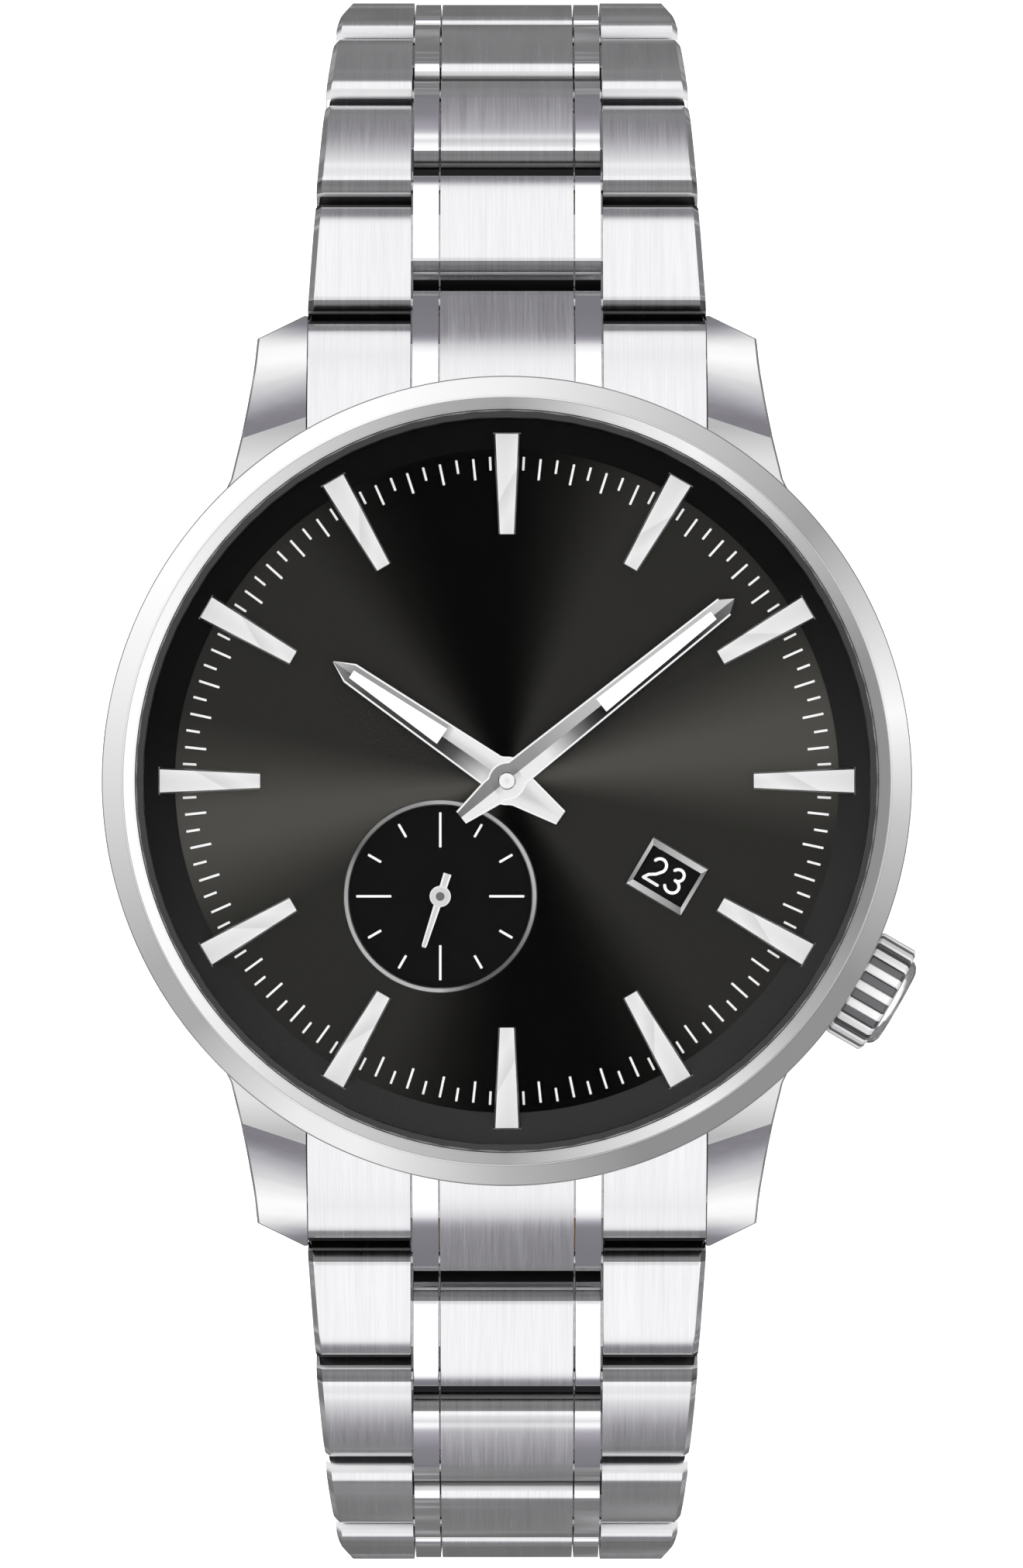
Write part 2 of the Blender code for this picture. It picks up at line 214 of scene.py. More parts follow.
def merge(name, parts):
    """Several solids as one mesh object, keeping their materials."""
    joined, mats = bmesh.new(), []
    for part in parts:
        part.data.calc_loop_triangles()
        offset = len(mats)
        mats += list(part.data.materials) or [None]
        before = len(joined.faces)
        joined.from_mesh(part.data)
        joined.faces.ensure_lookup_table()
        for face in joined.faces[before:]:
            face.material_index += offset
        bpy.data.objects.remove(part)
    mesh = bpy.data.meshes.new(name)
    joined.to_mesh(mesh)
    joined.free()
    unique = []
    for m in mats:
        if m not in unique:
            unique.append(m)
    for m in unique:
        mesh.materials.append(m)
    for face in mesh.polygons:
        face.material_index = unique.index(mats[face.material_index])
    return add_object(name, mesh)


def paint(obj, material):
    obj.data.materials.clear()
    obj.data.materials.append(material)
    for face in obj.data.polygons:
        face.material_index = 0
    return obj


def shaded(obj, angle):
    """Smooth faces, with edges over this angle kept sharp."""
    mesh = obj.data
    shape = bmesh.new()
    shape.from_mesh(mesh)
    for face in shape.faces:
        face.smooth = True
    for edge in shape.edges:
        if len(edge.link_faces) == 2:
            edge.smooth = edge.calc_face_angle(0) < math.radians(angle)
    shape.to_mesh(mesh)
    shape.free()
    return obj


def finish(obj, body, replaced=(), bevel=0.0, limit=30, smooth=30):
    """Scales to metres, adds the edge rounding (mm), and ties the piece to its body."""
    obj.data.transform(Matrix.Scale(MM, 4))
    shaded(obj, smooth)
    obj.data.name = obj.name
    if bevel:
        edge = obj.modifiers.new("edges", "BEVEL")
        edge.width, edge.segments = bevel * MM, 2
        edge.limit_method, edge.angle_limit = "ANGLE", math.radians(limit)
        edge.harden_normals, edge.miter_outer = True, "MITER_ARC"
    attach(obj, body)
    if replaced:
        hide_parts(*replaced)
    return obj


# ---------------------------------------- materials
def linear(value):
    """An sRGB tone of 0 to 255 as scene-linear light."""
    v = value / 255
    return v / 12.92 if v <= 0.04045 else ((v + 0.055) / 1.055) ** 2.4


def grey(value):
    """The metal colour that shows a tone of 0 to 255 where it mirrors the studio's white."""
    v = linear(value) / PANEL_WHITE
    return (v, v, v, 1)


class Graph:
    """A node tree with short calls for adding and linking nodes."""

    def __init__(self, tree, coord):
        self.tree = tree
        self.coord = tree.nodes.new("ShaderNodeTexCoord").outputs[coord]

    def link(self, a, b):
        self.tree.links.new(a, b)

    def math(self, kind, a, b=None):
        node = self.tree.nodes.new("ShaderNodeMath")
        node.operation = kind
        for slot, value in zip(node.inputs, (a, b)):
            if value is None:
                continue
            if isinstance(value, (int, float)):
                slot.default_value = value
            else:
                self.link(value, slot)
        return node.outputs[0]

    def split(self):
        node = self.tree.nodes.new("ShaderNodeSeparateXYZ")
        self.link(self.coord, node.inputs[0])
        return node.outputs

    def radius(self, x, y):
        return self.math("SQRT", self.math("ADD", self.math("MULTIPLY", x, x), self.math("MULTIPLY", y, y)))

    def vector(self, x=0.0, y=0.0, z=0.0):
        node = self.tree.nodes.new("ShaderNodeCombineXYZ")
        for slot, value in zip(node.inputs, (x, y, z)):
            if isinstance(value, (int, float)):
                slot.default_value = value
            else:
                self.link(value, slot)
        return node.outputs[0]

    def scaled(self, scale, vector=None, shift=(0, 0, 0)):
        node = self.tree.nodes.new("ShaderNodeMapping")
        node.inputs["Scale"].default_value = scale
        node.inputs["Location"].default_value = shift
        self.link(vector or self.coord, node.inputs["Vector"])
        return node.outputs[0]

    def noise(self, vector, scale=1.0, detail=3.0, rough=0.6):
        node = self.tree.nodes.new("ShaderNodeTexNoise")
        node.inputs["Scale"].default_value = scale
        node.inputs["Detail"].default_value = detail
        node.inputs["Roughness"].default_value = rough
        self.link(vector, node.inputs["Vector"])
        return node.outputs["Fac"]

    def ramp(self, fac, stops):
        node = self.tree.nodes.new("ShaderNodeValToRGB")
        line = node.color_ramp
        while len(line.elements) < len(stops):
            line.elements.new(0.5)
        for element, (at, colour) in zip(line.elements, stops):
            element.position = at
            element.color = colour if isinstance(colour, tuple) else (colour, colour, colour, 1)
        self.link(fac, node.inputs["Fac"])
        return node.outputs["Color"]

    def range(self, value, a, b, c, d):
        node = self.tree.nodes.new("ShaderNodeMapRange")
        for slot, number in zip(list(node.inputs)[1:5], (a, b, c, d)):
            slot.default_value = number
        self.link(value, node.inputs["Value"])
        return node.outputs["Result"]

    def mix(self, fac, a, b, blend="MIX"):
        node = self.tree.nodes.new("ShaderNodeMix")
        node.data_type, node.blend_type = "RGBA", blend
        if isinstance(fac, (int, float)):
            node.inputs["Factor"].default_value = fac
        else:
            self.link(fac, node.inputs["Factor"])
        self.link(a, node.inputs[6])
        self.link(b, node.inputs[7])
        return node.outputs[2]


class Nodes(Graph):
    """A material with one Principled shader."""

    def __init__(self, name, colour=(0.8, 0.8, 0.8, 1), metallic=0.0, rough=0.5, **more):
        self.mat = bpy.data.materials.new(name)
        self.mat.use_nodes = True
        super().__init__(self.mat.node_tree, "Object")
        self.shader = self.tree.nodes["Principled BSDF"]
        self.put("Base Color", colour)
        self.put("Metallic", metallic)
        self.put("Roughness", rough)
        for key, value in more.items():
            self.put(key.replace("_", " "), value)

    def put(self, socket, value):
        self.shader.inputs[socket].default_value = value

    def wire(self, a, socket):
        self.link(a, self.shader.inputs[socket])

    def bump(self, height, strength):
        node = self.tree.nodes.new("ShaderNodeBump")
        node.inputs["Strength"].default_value = strength
        node.inputs["Distance"].default_value = GRAIN_DEPTH
        self.link(height, node.inputs["Height"])
        self.wire(node.outputs[0], "Normal")


# The studio's white as steel mirrors it, the depth of a surface's grain in metres, the noise scales
# that draw fine lines along Y, along X and as hairline scratches, and the steel's two tints.
PANEL_WHITE = 1.14
GRAIN_DEPTH = 0.00001
LINES_Y, LINES_X, SCRATCHES = (9000, 260, 260), (900, 9000, 900), (900, 2600, 1500)
NEUTRAL = (1.0, 1.0, 1.005)
COOL = (0.996, 0.988, 1.012)


def tinted(tone, tint):
    return (*(min(1, tone * c) for c in tint), 1)


def hairlines(n, rough):
    """Roughness that wavers along fine scratches."""
    n.wire(n.range(n.noise(n.scaled(SCRATCHES), 1, 4), 0.3, 0.8, rough * 0.7, rough * 1.5), "Roughness")


def polished(name, tone, rough=0.09, tint=NEUTRAL):
    """Bright steel with faint haze and hairline scratches."""
    n = Nodes(name, metallic=1.0)
    haze = n.noise(n.coord, 350, 3)
    n.wire(n.ramp(haze, [(0.3, tinted(tone * 0.97, tint)), (0.7, tinted(tone, tint))]), "Base Color")
    hairlines(n, rough)
    return n.mat


def brushed(name, tone, scale, rough=0.3, bump=0.25, spread=0.09, round_z=False, tint=COOL):
    """Satin steel: fine lines along one direction, or in circles about Z."""
    n = Nodes(name, metallic=1.0)
    vector = n.coord
    if round_z:
        x, y, z = n.split()
        vector = n.vector(n.radius(x, y), n.math("MULTIPLY", n.math("ARCTAN2", y, x), 0.003), z)
    fine = n.noise(n.scaled(scale, vector), 1, 5, 0.7)
    broad = n.noise(n.scaled(tuple(s * 0.22 for s in scale), vector, (3, 1, 2)), 1, 2)
    both = n.math("ADD", n.math("MULTIPLY", fine, 0.7), n.math("MULTIPLY", broad, 0.3))
    n.wire(n.ramp(both, [(0.3, tinted(tone - spread, tint)), (0.7, tinted(tone + spread, tint))]),
        "Base Color")
    n.wire(n.range(both, 0.3, 0.7, rough * 0.8, rough * 1.25), "Roughness")
    n.bump(fine, bump)
    return n.mat


# Painted sunray reflection: the dial's tone (0 to 255) by folded clock angle, brightest along the axis.
PAINTED_SUNRAY_TONES = ((0, 80), (0.035, 80), (0.1, 70), (0.167, 56), (0.233, 45), (0.633, 45), (0.7, 36), (0.767, 21),
    (0.833, 7), (0.9, 0), (1, 0))
PAINTED_SHEEN_AXIS = 81


def sunray(name, gain):
    """Black dial with fine radial lines and a painted sunray reflection, brightest at the axis's clock
    angle and opposite it.
    """
    n = Nodes(name, metallic=1.0, rough=0.42)
    x, y, z = n.split()
    angle = n.math("ARCTAN2", x, y)
    turn = n.math("MULTIPLY", n.math("SUBTRACT", angle, math.radians(PAINTED_SHEEN_AXIS)), 2)
    fold = n.math("DIVIDE", n.math("ARCCOSINE", n.math("MULTIPLY", n.math("COSINE", turn), 0.99999)),
        math.pi)
    stops = []
    for at, tone in PAINTED_SUNRAY_TONES:
        v = linear(tone) * gain
        stops.append((at, (v * 1.03, v, v * 0.9, 1)))
    lines = n.noise(n.vector(n.math("MULTIPLY", angle, 150), 0, 0), 1, 3, 0.7)
    n.wire(n.mix(1, n.ramp(fold, stops), n.ramp(lines, [(0.3, 0.9), (0.7, 1.0)]), "MULTIPLY"), "Base Color")
    return n.mat


def plain(name, colour, metallic=0.0, rough=0.5, grain=0.0, grain_scale=3000, **more):
    """Paint, plastic or rubber: faint colour variation, and a fine grain if asked."""
    n = Nodes(name, metallic=metallic, rough=rough, **more)
    spots = n.noise(n.coord, 600, 3)
    n.wire(n.ramp(spots, [(0.3, tuple(c * 0.93 for c in colour[:3]) + (1,)),
        (0.7, tuple(colour[:3]) + (1,))]), "Base Color")
    if grain:
        n.bump(n.noise(n.coord, grain_scale, 3), grain)
    return n.mat


STEEL = polished("polished_steel", 0.9)
BRUSHED = brushed("brushed_links", 0.79, LINES_Y, 0.23, 0.2, 0.07)
STRIP_STEEL = polished("polished_links", 0.95, 0.07, COOL)
CLASP = brushed("brushed_clasp", 0.74, (9000, 200, 260), 0.3, 0.2, 0.07)
BACK = brushed("circular_brushed_back", 0.72, (14000, 900, 900), 0.3, 0.25, 0.08, True)
FLANK = brushed("brushed_flank", 0.74, (300, 60, 16000), 0.3, 0.2, 0.07, True)
PIN = polished("pin_steel", 0.6, 0.25)
DIAL = sunray("black_dial_painted_sunray", 1.12)
RUBBER = plain("gasket_rubber_look", (0.02, 0.02, 0.021), 0, 0.55, 0.3)
# White print with a faint painted glow from its emission.
WHITE_PRINT_GLOW = plain("white_print_painted_glow", (0.95, 0.95, 0.95), 0, 0.5, Emission_Color=(1, 1, 1, 1),
    Emission_Strength=0.25)
LUME = plain("lume", (0.96, 0.965, 0.94), 0, 0.6, 0.15, 2500, Emission_Color=(0.97, 1, 0.94, 1),
    Emission_Strength=0.3)
BLACK = plain("matt_black_print", (0.003, 0.003, 0.003), 0, 0.6, Specular_IOR_Level=0.1)
# Painted shade on a link's rounded shoulder.
SHOULDER_SHADE = brushed("shoulder_painted_shade", 0.2, LINES_Y, 0.3, 0.2, 0.04)
# Painted highlight on a link's edge.
EDGE_HIGHLIGHT = plain("edge_painted_highlight", (0.78, 0.78, 0.79), 0.7, 0.3)
# Painted shade in the gaps, steep ends and undersides of the links.
RECESS_SHADE = plain("recess_painted_shade", (0.03, 0.03, 0.032), 0.9, 0.45)


def marker_silver():
    """Satin silver with a painted sheen that steps across each marker at a slant."""
    n = Nodes("satin_silver_painted_sheen", metallic=1.0, rough=0.3)
    x, y, z = n.split()
    radius = n.radius(x, y)
    turn = n.math("DIVIDE", n.math("ARCTAN2", x, y), math.pi / 6)
    side = n.math("MULTIPLY", n.math("MULTIPLY", n.math("SUBTRACT", turn, n.math("ROUND", turn)), radius),
        math.pi / 6)
    fac = n.range(n.math("SUBTRACT", radius, n.math("MULTIPLY", side, 1.8)), 0.0134, 0.019, 0, 1)
    n.wire(n.ramp(fac, [(0, 0.93), (0.2, 1.0), (0.46, (0.84, 0.84, 0.845, 1)), (0.5, 1.0),
        (1, (0.92, 0.92, 0.925, 1))]), "Base Color")
    return n.mat


MARKER_SHEEN = marker_silver()
HOLDER = plain("holder_moulding", (0.62, 0.62, 0.6), 0, 0.45, 0.2)
GLASS = Nodes("clear_sapphire", (0.01, 0.01, 0.01, 1), 0, 0.0, Alpha=0.04, IOR=1.5).mat


def around(name, tones, rough=0.07, centre=(0.0, 0.0)):
    """Polished cone with a painted reflection of a studio's panels: its tone follows the clock angle."""
    n = Nodes(name, metallic=1.0, rough=rough)
    x, y, z = n.split()
    x, y = n.math("SUBTRACT", x, centre[0] * MM), n.math("SUBTRACT", y, centre[1] * MM)
    fac = n.math("DIVIDE", n.math("ADD", n.math("ARCTAN2", x, y), math.pi), 2 * math.pi)
    pairs = sorted((((a + 180) % 360) / 360, tone) for a, tone in tones)
    pairs.append((1.0, pairs[0][1]))
    n.wire(n.ramp(fac, [(at, grey(tone)) for at, tone in pairs]), "Base Color")
    hairlines(n, rough)
    return n.mat


def facet(name, angle, tones, centre=(0.0, 0.0)):
    """Polished facet with painted light and shade: its tone changes along a clock angle; tones are (mm from
    the centre, 0 to 255).
    """
    n = Nodes(name, metallic=1.0, rough=0.16)
    x, y, z = n.split()
    s, c = math.sin(math.radians(angle)), math.cos(math.radians(angle))
    x, y = n.math("SUBTRACT", x, centre[0] * MM), n.math("SUBTRACT", y, centre[1] * MM)
    along = n.math("ADD", n.math("MULTIPLY", x, s), n.math("MULTIPLY", y, c))
    first, last = -4, 16
    fac = n.range(along, first * MM, last * MM, 0, 1)
    n.wire(n.ramp(fac, [((mm - first) / (last - first), grey(tone)) for mm, tone in tones]), "Base Color")
    return n.mat


# ---------------------------------------- case
# A lug's top as (y, z), its slope in degrees from there up to each y, its half width and its underside.
LUG_TOP = [(12.0, 7.05), (15.0, 7.0), (17.0, 6.94), (19.3, 6.82)]
LUG_SLOPE = ((20.0, 40.2), (20.6, 38.4), (21.2, 37.3), (21.8, 36.7), (22.4, 36.1), (23.0, 34.6),
    (23.6, 33.4), (24.1, 36.4), (24.6, 38.8), (25.0, 41), (25.35, 43))
LUG_WIDTH = ((12.0, 17.6), (15.2, 15.65), (17.0, 15.05), (18.6, 14.66), (20.6, 14.22), (22.7, 13.77),
    (24.1, 13.6), (25.35, 11.05))
LUG_LOW = ((12.0, 1.3), (15.2, 1.3), (17.0, 1.0), (19.2, 0.5), (20.6, 0.15), (21.8, -0.1), (22.7, -0.25),
    (24.1, -0.35), (24.8, -0.2), (25.35, 0.1))
LUG_INNER = 11.0


def lookup(table, y):
    for (a, p), (b, q) in zip(table, table[1:]):
        if y <= b:
            return p + (q - p) * (y - a) / (b - a)
    return table[-1][1]


def slant(x, y):
    """Moves the lug's crease nearer the bezel on the outer side."""
    return y - 0.33 * (x - 12.6) * max(0.0, min(1.0, (y - 15) / 3, (24.2 - y) / 3))


def lug(name, sx, sy):
    """One lug; lower points lie farther out, so that its outline is the photograph's from the camera."""
    top = list(LUG_TOP)
    for yn, slope in LUG_SLOPE:
        y, z = top[-1]
        top.append((yn, z - (yn - y) * math.tan(math.radians(slope))))
    rings = []
    for y, t in top:
        low = lookup(LUG_LOW, y)
        t = max(t, low + 0.8)
        spread = 1 + (FOCUS_Z - t) / DISTANCE
        x = lookup(LUG_WIDTH, y) * spread
        c = min(0.28, (x - LUG_INNER) * 0.3)
        y *= spread
        rings.append([(LUG_INNER, y, low), (x - c, y, low), (x, y, low + c), (x, y, t - 0.13),
            (x - 0.12, y, t), (LUG_INNER, y, t)])
    return loft(name, [[(sx * x, sy * slant(x, y), z) for x, y, z in ring] for ring in rings])


def along_stem(obj):
    """Moves an object built along X to the stem, towards 4 o'clock."""
    return place(obj, Matrix.Translation((0, 0, STEM_Z)) @ Matrix.Rotation(math.radians(-30), 4, "Z"))


def shaded_ring():
    """Black lacquer on the slope inside the crystal, with a painted reflection that makes it a little
    lighter towards six o'clock.
    """
    n = Nodes("lacquer_slope_painted_reflection", rough=0.25, Specular_IOR_Level=0.0)
    x, y, z = n.split()
    lines = n.noise(n.vector(n.math("MULTIPLY", n.math("ARCTAN2", x, y), 60), 0, 0), 1, 2)
    fac = n.math("ADD", n.range(n.math("SUBTRACT", y, n.math("MULTIPLY", x, 0.25)), 0.019, -0.019, 0, 1),
        n.math("MULTIPLY", n.math("SUBTRACT", lines, 0.5), 0.04))
    n.wire(n.ramp(fac, [(0, 0.003), (0.3, 0.004), (0.76, 0.035), (1, 0.043)]), "Base Color")
    return n.mat


case = turned("case_body", [(0, 0.9), (CASE_R - 0.9, 0.9), (CASE_R, 1.8), (CASE_R, 7.7),
    (CASE_R - 0.3, 8.0), (0, 8.0)])
union(case, *[lug("lug", sx, sy) for sx in (1, -1) for sy in (1, -1)])
cut(case, turned("bore", [(0, 0.5), (18.2, 0.5), (18.2, 6.4), (20.0, 6.4), (20.0, 8.4), (0, 8.4)]),
    along_stem(rod_x("hole", 1.15, 17.5, 22.5)))
for s in (1, -1):
    holes = rod_x("bar_holes", BAR_HOLE_R, -BAR_HALF, BAR_HALF)
    cut(case, place(holes, Matrix.Translation((0, s * BAR_YZ[0], BAR_YZ[1]))))
# Painted shade on the lugs' flat tops: the steel darkens towards the crease.
lug_foot_shade = Nodes("lug_foot_painted_shade", metallic=1.0, rough=0.1)
crease_shade_fac = lug_foot_shade.range(lug_foot_shade.math("ABSOLUTE", lug_foot_shade.split()[1]), 0.0155, 0.0194, 0, 1)
lug_foot_shade.wire(lug_foot_shade.ramp(crease_shade_fac, [(0, (0.92, 0.92, 0.925, 1)), (0.5, (0.86, 0.86, 0.865, 1)),
    (1, (0.55, 0.55, 0.555, 1))]), "Base Color")
case.data.materials.clear()
for m in (STEEL, FLANK, lug_foot_shade.mat):
    case.data.materials.append(m)
for face in case.data.polygons:
    x, y, z = face.center
    if math.hypot(x, y) > CASE_R - 0.3:
        if abs(face.normal.z) < 0.3 and abs(y) < 19 and z < 7.6:
            face.material_index = 1
        elif face.normal.z > 0.95 and z > 6.5:
            face.material_index = 2
finish(case, "case", ["case_middle"], 0.1, 34, 25)

# Painted reflection tones by clock angle on the bezel's outer slope and on its inner one.
BEZEL_OUTER_REFLECTION = [(0, 240), (25, 200), (50, 160), (65, 210), (80, 250), (95, 200), (120, 145), (160, 142),
    (180, 180), (202, 240), (212, 235), (232, 170), (242, 172), (285, 240), (300, 254), (340, 255)]
BEZEL_INNER_REFLECTION = [(0, 162), (20, 230), (30, 243), (50, 185), (72, 145), (110, 142), (130, 180), (150, 240),
    (165, 210), (180, 168), (210, 210), (235, 243), (250, 254), (285, 254), (300, 246), (320, 219),
    (350, 170)]
bezel = turned("bezel_ring", [(20.2, 8.1), (21.6, 8.1), (22.05, 8.45), (22.05, 9.42), (22.0, 9.52),
    (20.97, 10.06), (20.9, 10.03), (20.84, 10.1), (20.28, 10.33), (20.2, 10.28)], 256)
for m in (STEEL, around("bezel_outer_painted_reflection", BEZEL_OUTER_REFLECTION), around("bezel_inner_painted_reflection", BEZEL_INNER_REFLECTION)):
    bezel.data.materials.append(m)
for face in bezel.data.polygons:
    r = math.hypot(face.center.x, face.center.y)
    if face.normal.z > 0.3:
        face.material_index = 1 if 20.93 < r < 22.02 else 2 if r < 20.86 else 0
finish(bezel, "case", ["bezel"], 0.03, 20, 18)

crystal = turned("crystal_dome", [(0, 8.9), (19.72, 8.9), (19.72, 10.1), (19.5, 10.28), (15, 10.5),
    (10, 10.64), (5, 10.72), (0, 10.75)])
finish(paint(crystal, GLASS), "case", ["crystal"])
for node in ("crystal_gasket", "case_back_gasket"):
    paint(nodes[node], RUBBER)
for node in ("crown_tube", "winding_stem", "spring_bar_12", "spring_bar_6"):
    paint(nodes[node], PIN)
paint(nodes["movement_holder"], HOLDER)

# ---------------------------------------- dial side
sub_x, sub_y = polar(*SUB)
AT_SUB = Matrix.Translation((sub_x, sub_y, 0))
dial = turned("dial_plate", [(0, DIAL_Z - 0.4), (19.85, DIAL_Z - 0.4), (19.85, DIAL_Z), (0, DIAL_Z)])
cut(dial, prism_z("recess", circle(5.05, 128, sub_x, sub_y), 6.7, 7.2),
    prism_z("hole", circle(0.9, 40), 6, 7.2), prism_z("hole", circle(0.3, 20, sub_x, sub_y), 6, 7.2))
half_x, half_y = WINDOW_HALF
cut(dial, clock(box("window", -half_x, half_x, DATE[0] - half_y, DATE[0] + half_y, 6, 7.2), DATE[1]))
finish(paint(dial, DIAL), "case", ["dial"])

flange = turned("flange_slope", [(18.15, 6.9), (18.85, 6.9), (18.85, 7.36), (19.35, 7.36), (19.35, 6.9),
    (19.9, 6.9), (19.9, 8.35), (19.8, 8.35)])
for k in range(12):
    slot = [[(-w, y, 6.5), (w, y, 6.5), (w, y, 9), (-w, y, 9)] for y, w in ((17.5, 0.66), (19.02, 0.76))]
    cut(flange, clock(loft("slot", slot), 30 * k))
finish(paint(flange, shaded_ring()), "case", ["flange_ring"])

marks = []
for k in range(12):
    rings = []
    for y, w in ((13.47, 0.465), (18.98, 0.725)):
        rings.append([(-w, y, 6.87), (w, y, 6.87), (w, y, 7.5), (w - 0.1, y, 7.62), (0, y, 7.67),
            (-w + 0.1, y, 7.62), (-w, y, 7.5)])
    marks.append(clock(loft("mark", rings), 30 * k))
marks.append(turned("ring", [(18.98, 6.92), (19.25, 6.92), (19.25, 7.3), (18.98, 7.3)], 96))
markers = paint(merge("hour_markers", marks), MARKER_SHEEN)
finish(markers, "case", ["hour_marker_ring"], 0.03, 25, 15)

ticks = []
for k in range(120):
    if k % 10:
        a, b = (17.0, 17.74) if k % 2 else (16.53, 17.69)
        ticks.append(clock(box("tick", -0.063, 0.063, a, b, DIAL_Z + 0.002, DIAL_Z + 0.018), 3 * k))
for k in range(12):
    a, b = (2.68, 4.59) if k % 3 == 0 else (3.74, 4.55)
    tick = clock(box("tick", -0.065, 0.065, a, b, 6.702, 6.72), 30 * k)
    ticks.append(place(tick, AT_SUB))
finish(paint(merge("printed_ticks", ticks), WHITE_PRINT_GLOW), "case", ())

rim_profile = [(4.98, 6.86), (5.31, 6.86), (5.31, 6.95), (5.25, 7.02), (5.05, 7.02), (4.98, 6.95)]
rim = place(turned("small_seconds_ring", rim_profile, 128), AT_SUB)
# Painted reflection on the small seconds rim: its tone by clock angle.
rim_reflection_tones = [(0, 215), (30, 205), (60, 225), (90, 220), (110, 170), (130, 125), (160, 115), (175, 190),
    (190, 225), (230, 230), (270, 205), (285, 190), (300, 128), (320, 165), (345, 180)]
paint(rim, around("rim_silver_painted_reflection", rim_reflection_tones, 0.12, (sub_x, sub_y)))
finish(rim, "case", ["small_seconds_rim"])

grooves = [(0.32, 6.701)]
for k in range(46):
    r = 0.4 + k * 0.1
    grooves += [(r, 6.703), (r + 0.05, 6.712)]
grooves += [(5.0, 6.703), (5.0, 6.7005), (0.32, 6.7005)]
sub_disc = Nodes("grooved_black", (0.003, 0.003, 0.0032, 1), 0.0, 0.6, Specular_IOR_Level=0.03)
disc = place(turned("small_seconds_disc", grooves, 96), AT_SUB)
finish(paint(disc, sub_disc.mat), "case", ())

window = []
# Each side of the date frame gets painted light and shade: a tone that changes across it.
side_painted_tones = (
    ((-1.5, 215), (1.5, 135)),
    ((-1.7, 220), (1.7, 135)),
    ((-1.5, 115), (1.5, 225)),
    ((-1.7, 160), (1.7, 225)),
)
for k in range(4):
    metal = facet(f"date_side_painted_light_{k}", DATE[1] + (0 if k % 2 else 90), side_painted_tones[k], polar(*DATE))
    rings = []
    for sx, sy in (CORNERS[k], CORNERS[(k + 1) % 4]):
        (a, b), (e, f) = ((sx * p, DATE[0] + sy * q) for p, q in (FRAME_HALF, WINDOW_HALF))
        rings.append([(a, b, 6.87), (a, b, 7.0), (a + (e - a) * 0.2, b + (f - b) * 0.2, 7.1), (e, f, 7.02),
            (e, f, 6.6)])
    window.append(paint(loft("side", rings), metal))
finish(clock(merge("date_window_frame", window), DATE[1]), "case", ["date_frame"], 0, 30, 12)


# ---------------------------------------- hands
def hand(name, stations, z0, ridge, angle, left, right, edge, centre=(0.0, 0.0)):
    """A bar with two sloping facets and a small bright edge; stations are (y, half width)."""
    rings = []
    for y, w in stations:
        c = min(0.1, w * 0.5)
        side, rim = z0 + 0.08, z0 + 0.12
        crest = rim + (ridge - rim) * min(1.0, w / 0.45)
        rings.append([(-w, y, z0), (w, y, z0), (w, y, side), (w - c, y, rim), (0, y, crest),
            (-w + c, y, rim), (-w, y, side)])
    obj = loft(name, rings)
    for m in (edge, left, right):
        obj.data.materials.append(m)
    count = len(rings[0])
    right_side, left_side = 3, 4
    for face in obj.data.polygons:
        if face.index < count * (len(rings) - 1):
            face.material_index = {right_side: 2, left_side: 1}.get(face.index % count, 0)
    clock(obj, angle)
    return place(obj, Matrix.Translation((centre[0], centre[1], 0)))


def hub_stations(tail, tail_w, near, hub, front):
    """Widths of the bar, with the round hub added where it is wider."""
    bar = [(tail, tail_w), (-1.0, near), (1.0, near), *front]
    ys = sorted({tail, -hub, *[hub * math.sin(math.radians(a)) for a in range(-80, 81, 10)], hub,
        *[y for y, _ in front]})
    out = []
    for y in ys:
        for (a, p), (b, q) in zip(bar, bar[1:]):
            if a <= y <= b:
                w = p + (q - p) * (y - a) / (b - a)
                break
        out.append((y, max(w, math.sqrt(max(0, hub * hub - y * y)))))
    return out


def wedge(name, y0, w0, y1, w1, z0, z1, angle):
    obj = loft(name, [[(-w, y, z0), (w, y, z0), (w, y, z1), (-w, y, z1)] for y, w in ((y0, w0), (y1, w1))])
    return clock(obj, angle)


edge_steel = polished("hand_edge", 0.95, 0.12)
# Painted reflections on the hands' two facets: each facet's tone along its hand.
m_left = facet("minute_left_facet_painted_reflection", MIN_A, [(-4, 120), (-1, 146), (2, 160), (5, 195), (7, 205), (14, 205),
    (15.9, 225)])
m_right = facet("minute_right_facet_painted_reflection", MIN_A, [(-4, 252), (2.6, 252), (3.6, 200), (4.6, 130), (5.6, 70),
    (6.4, 35), (13, 45), (15, 110), (16, 130)])
h_left = facet("hour_left_facet_painted_reflection", HOUR_A, [(-4, 250), (0, 248), (1.3, 228), (2.3, 165), (3.2, 95),
    (4.0, 60), (9, 75), (10.4, 120), (11.5, 150)])
h_right = facet("hour_right_facet_painted_reflection", HOUR_A, [(-4, 248), (0, 252), (3.9, 255), (4.4, 175), (10.2, 160),
    (11.5, 205)])
shape = hub_stations(-3.2, 0.42, 0.78, 1.04, [(15.2, 0.575), (15.9, 0.03)])
minute = [hand("m", shape, 7.86, 8.1, MIN_A, m_left, m_right, edge_steel)]
pin = [(0, 8.0), (0.48, 8.0), (0.48, 8.14), (0.42, 8.22), (0.25, 8.28), (0, 8.3)]
minute.append(paint(turned("pin", pin, 48), MARKER_SHEEN))
minute.append(paint(turned("pipe", [(0, 5.2), (0.45, 5.2), (0.45, 7.9), (0, 7.9)], 24), PIN))
finish(merge("minute_hand_bar", minute), "minute_hand", ["minute_hand"], 0, 30, 20)
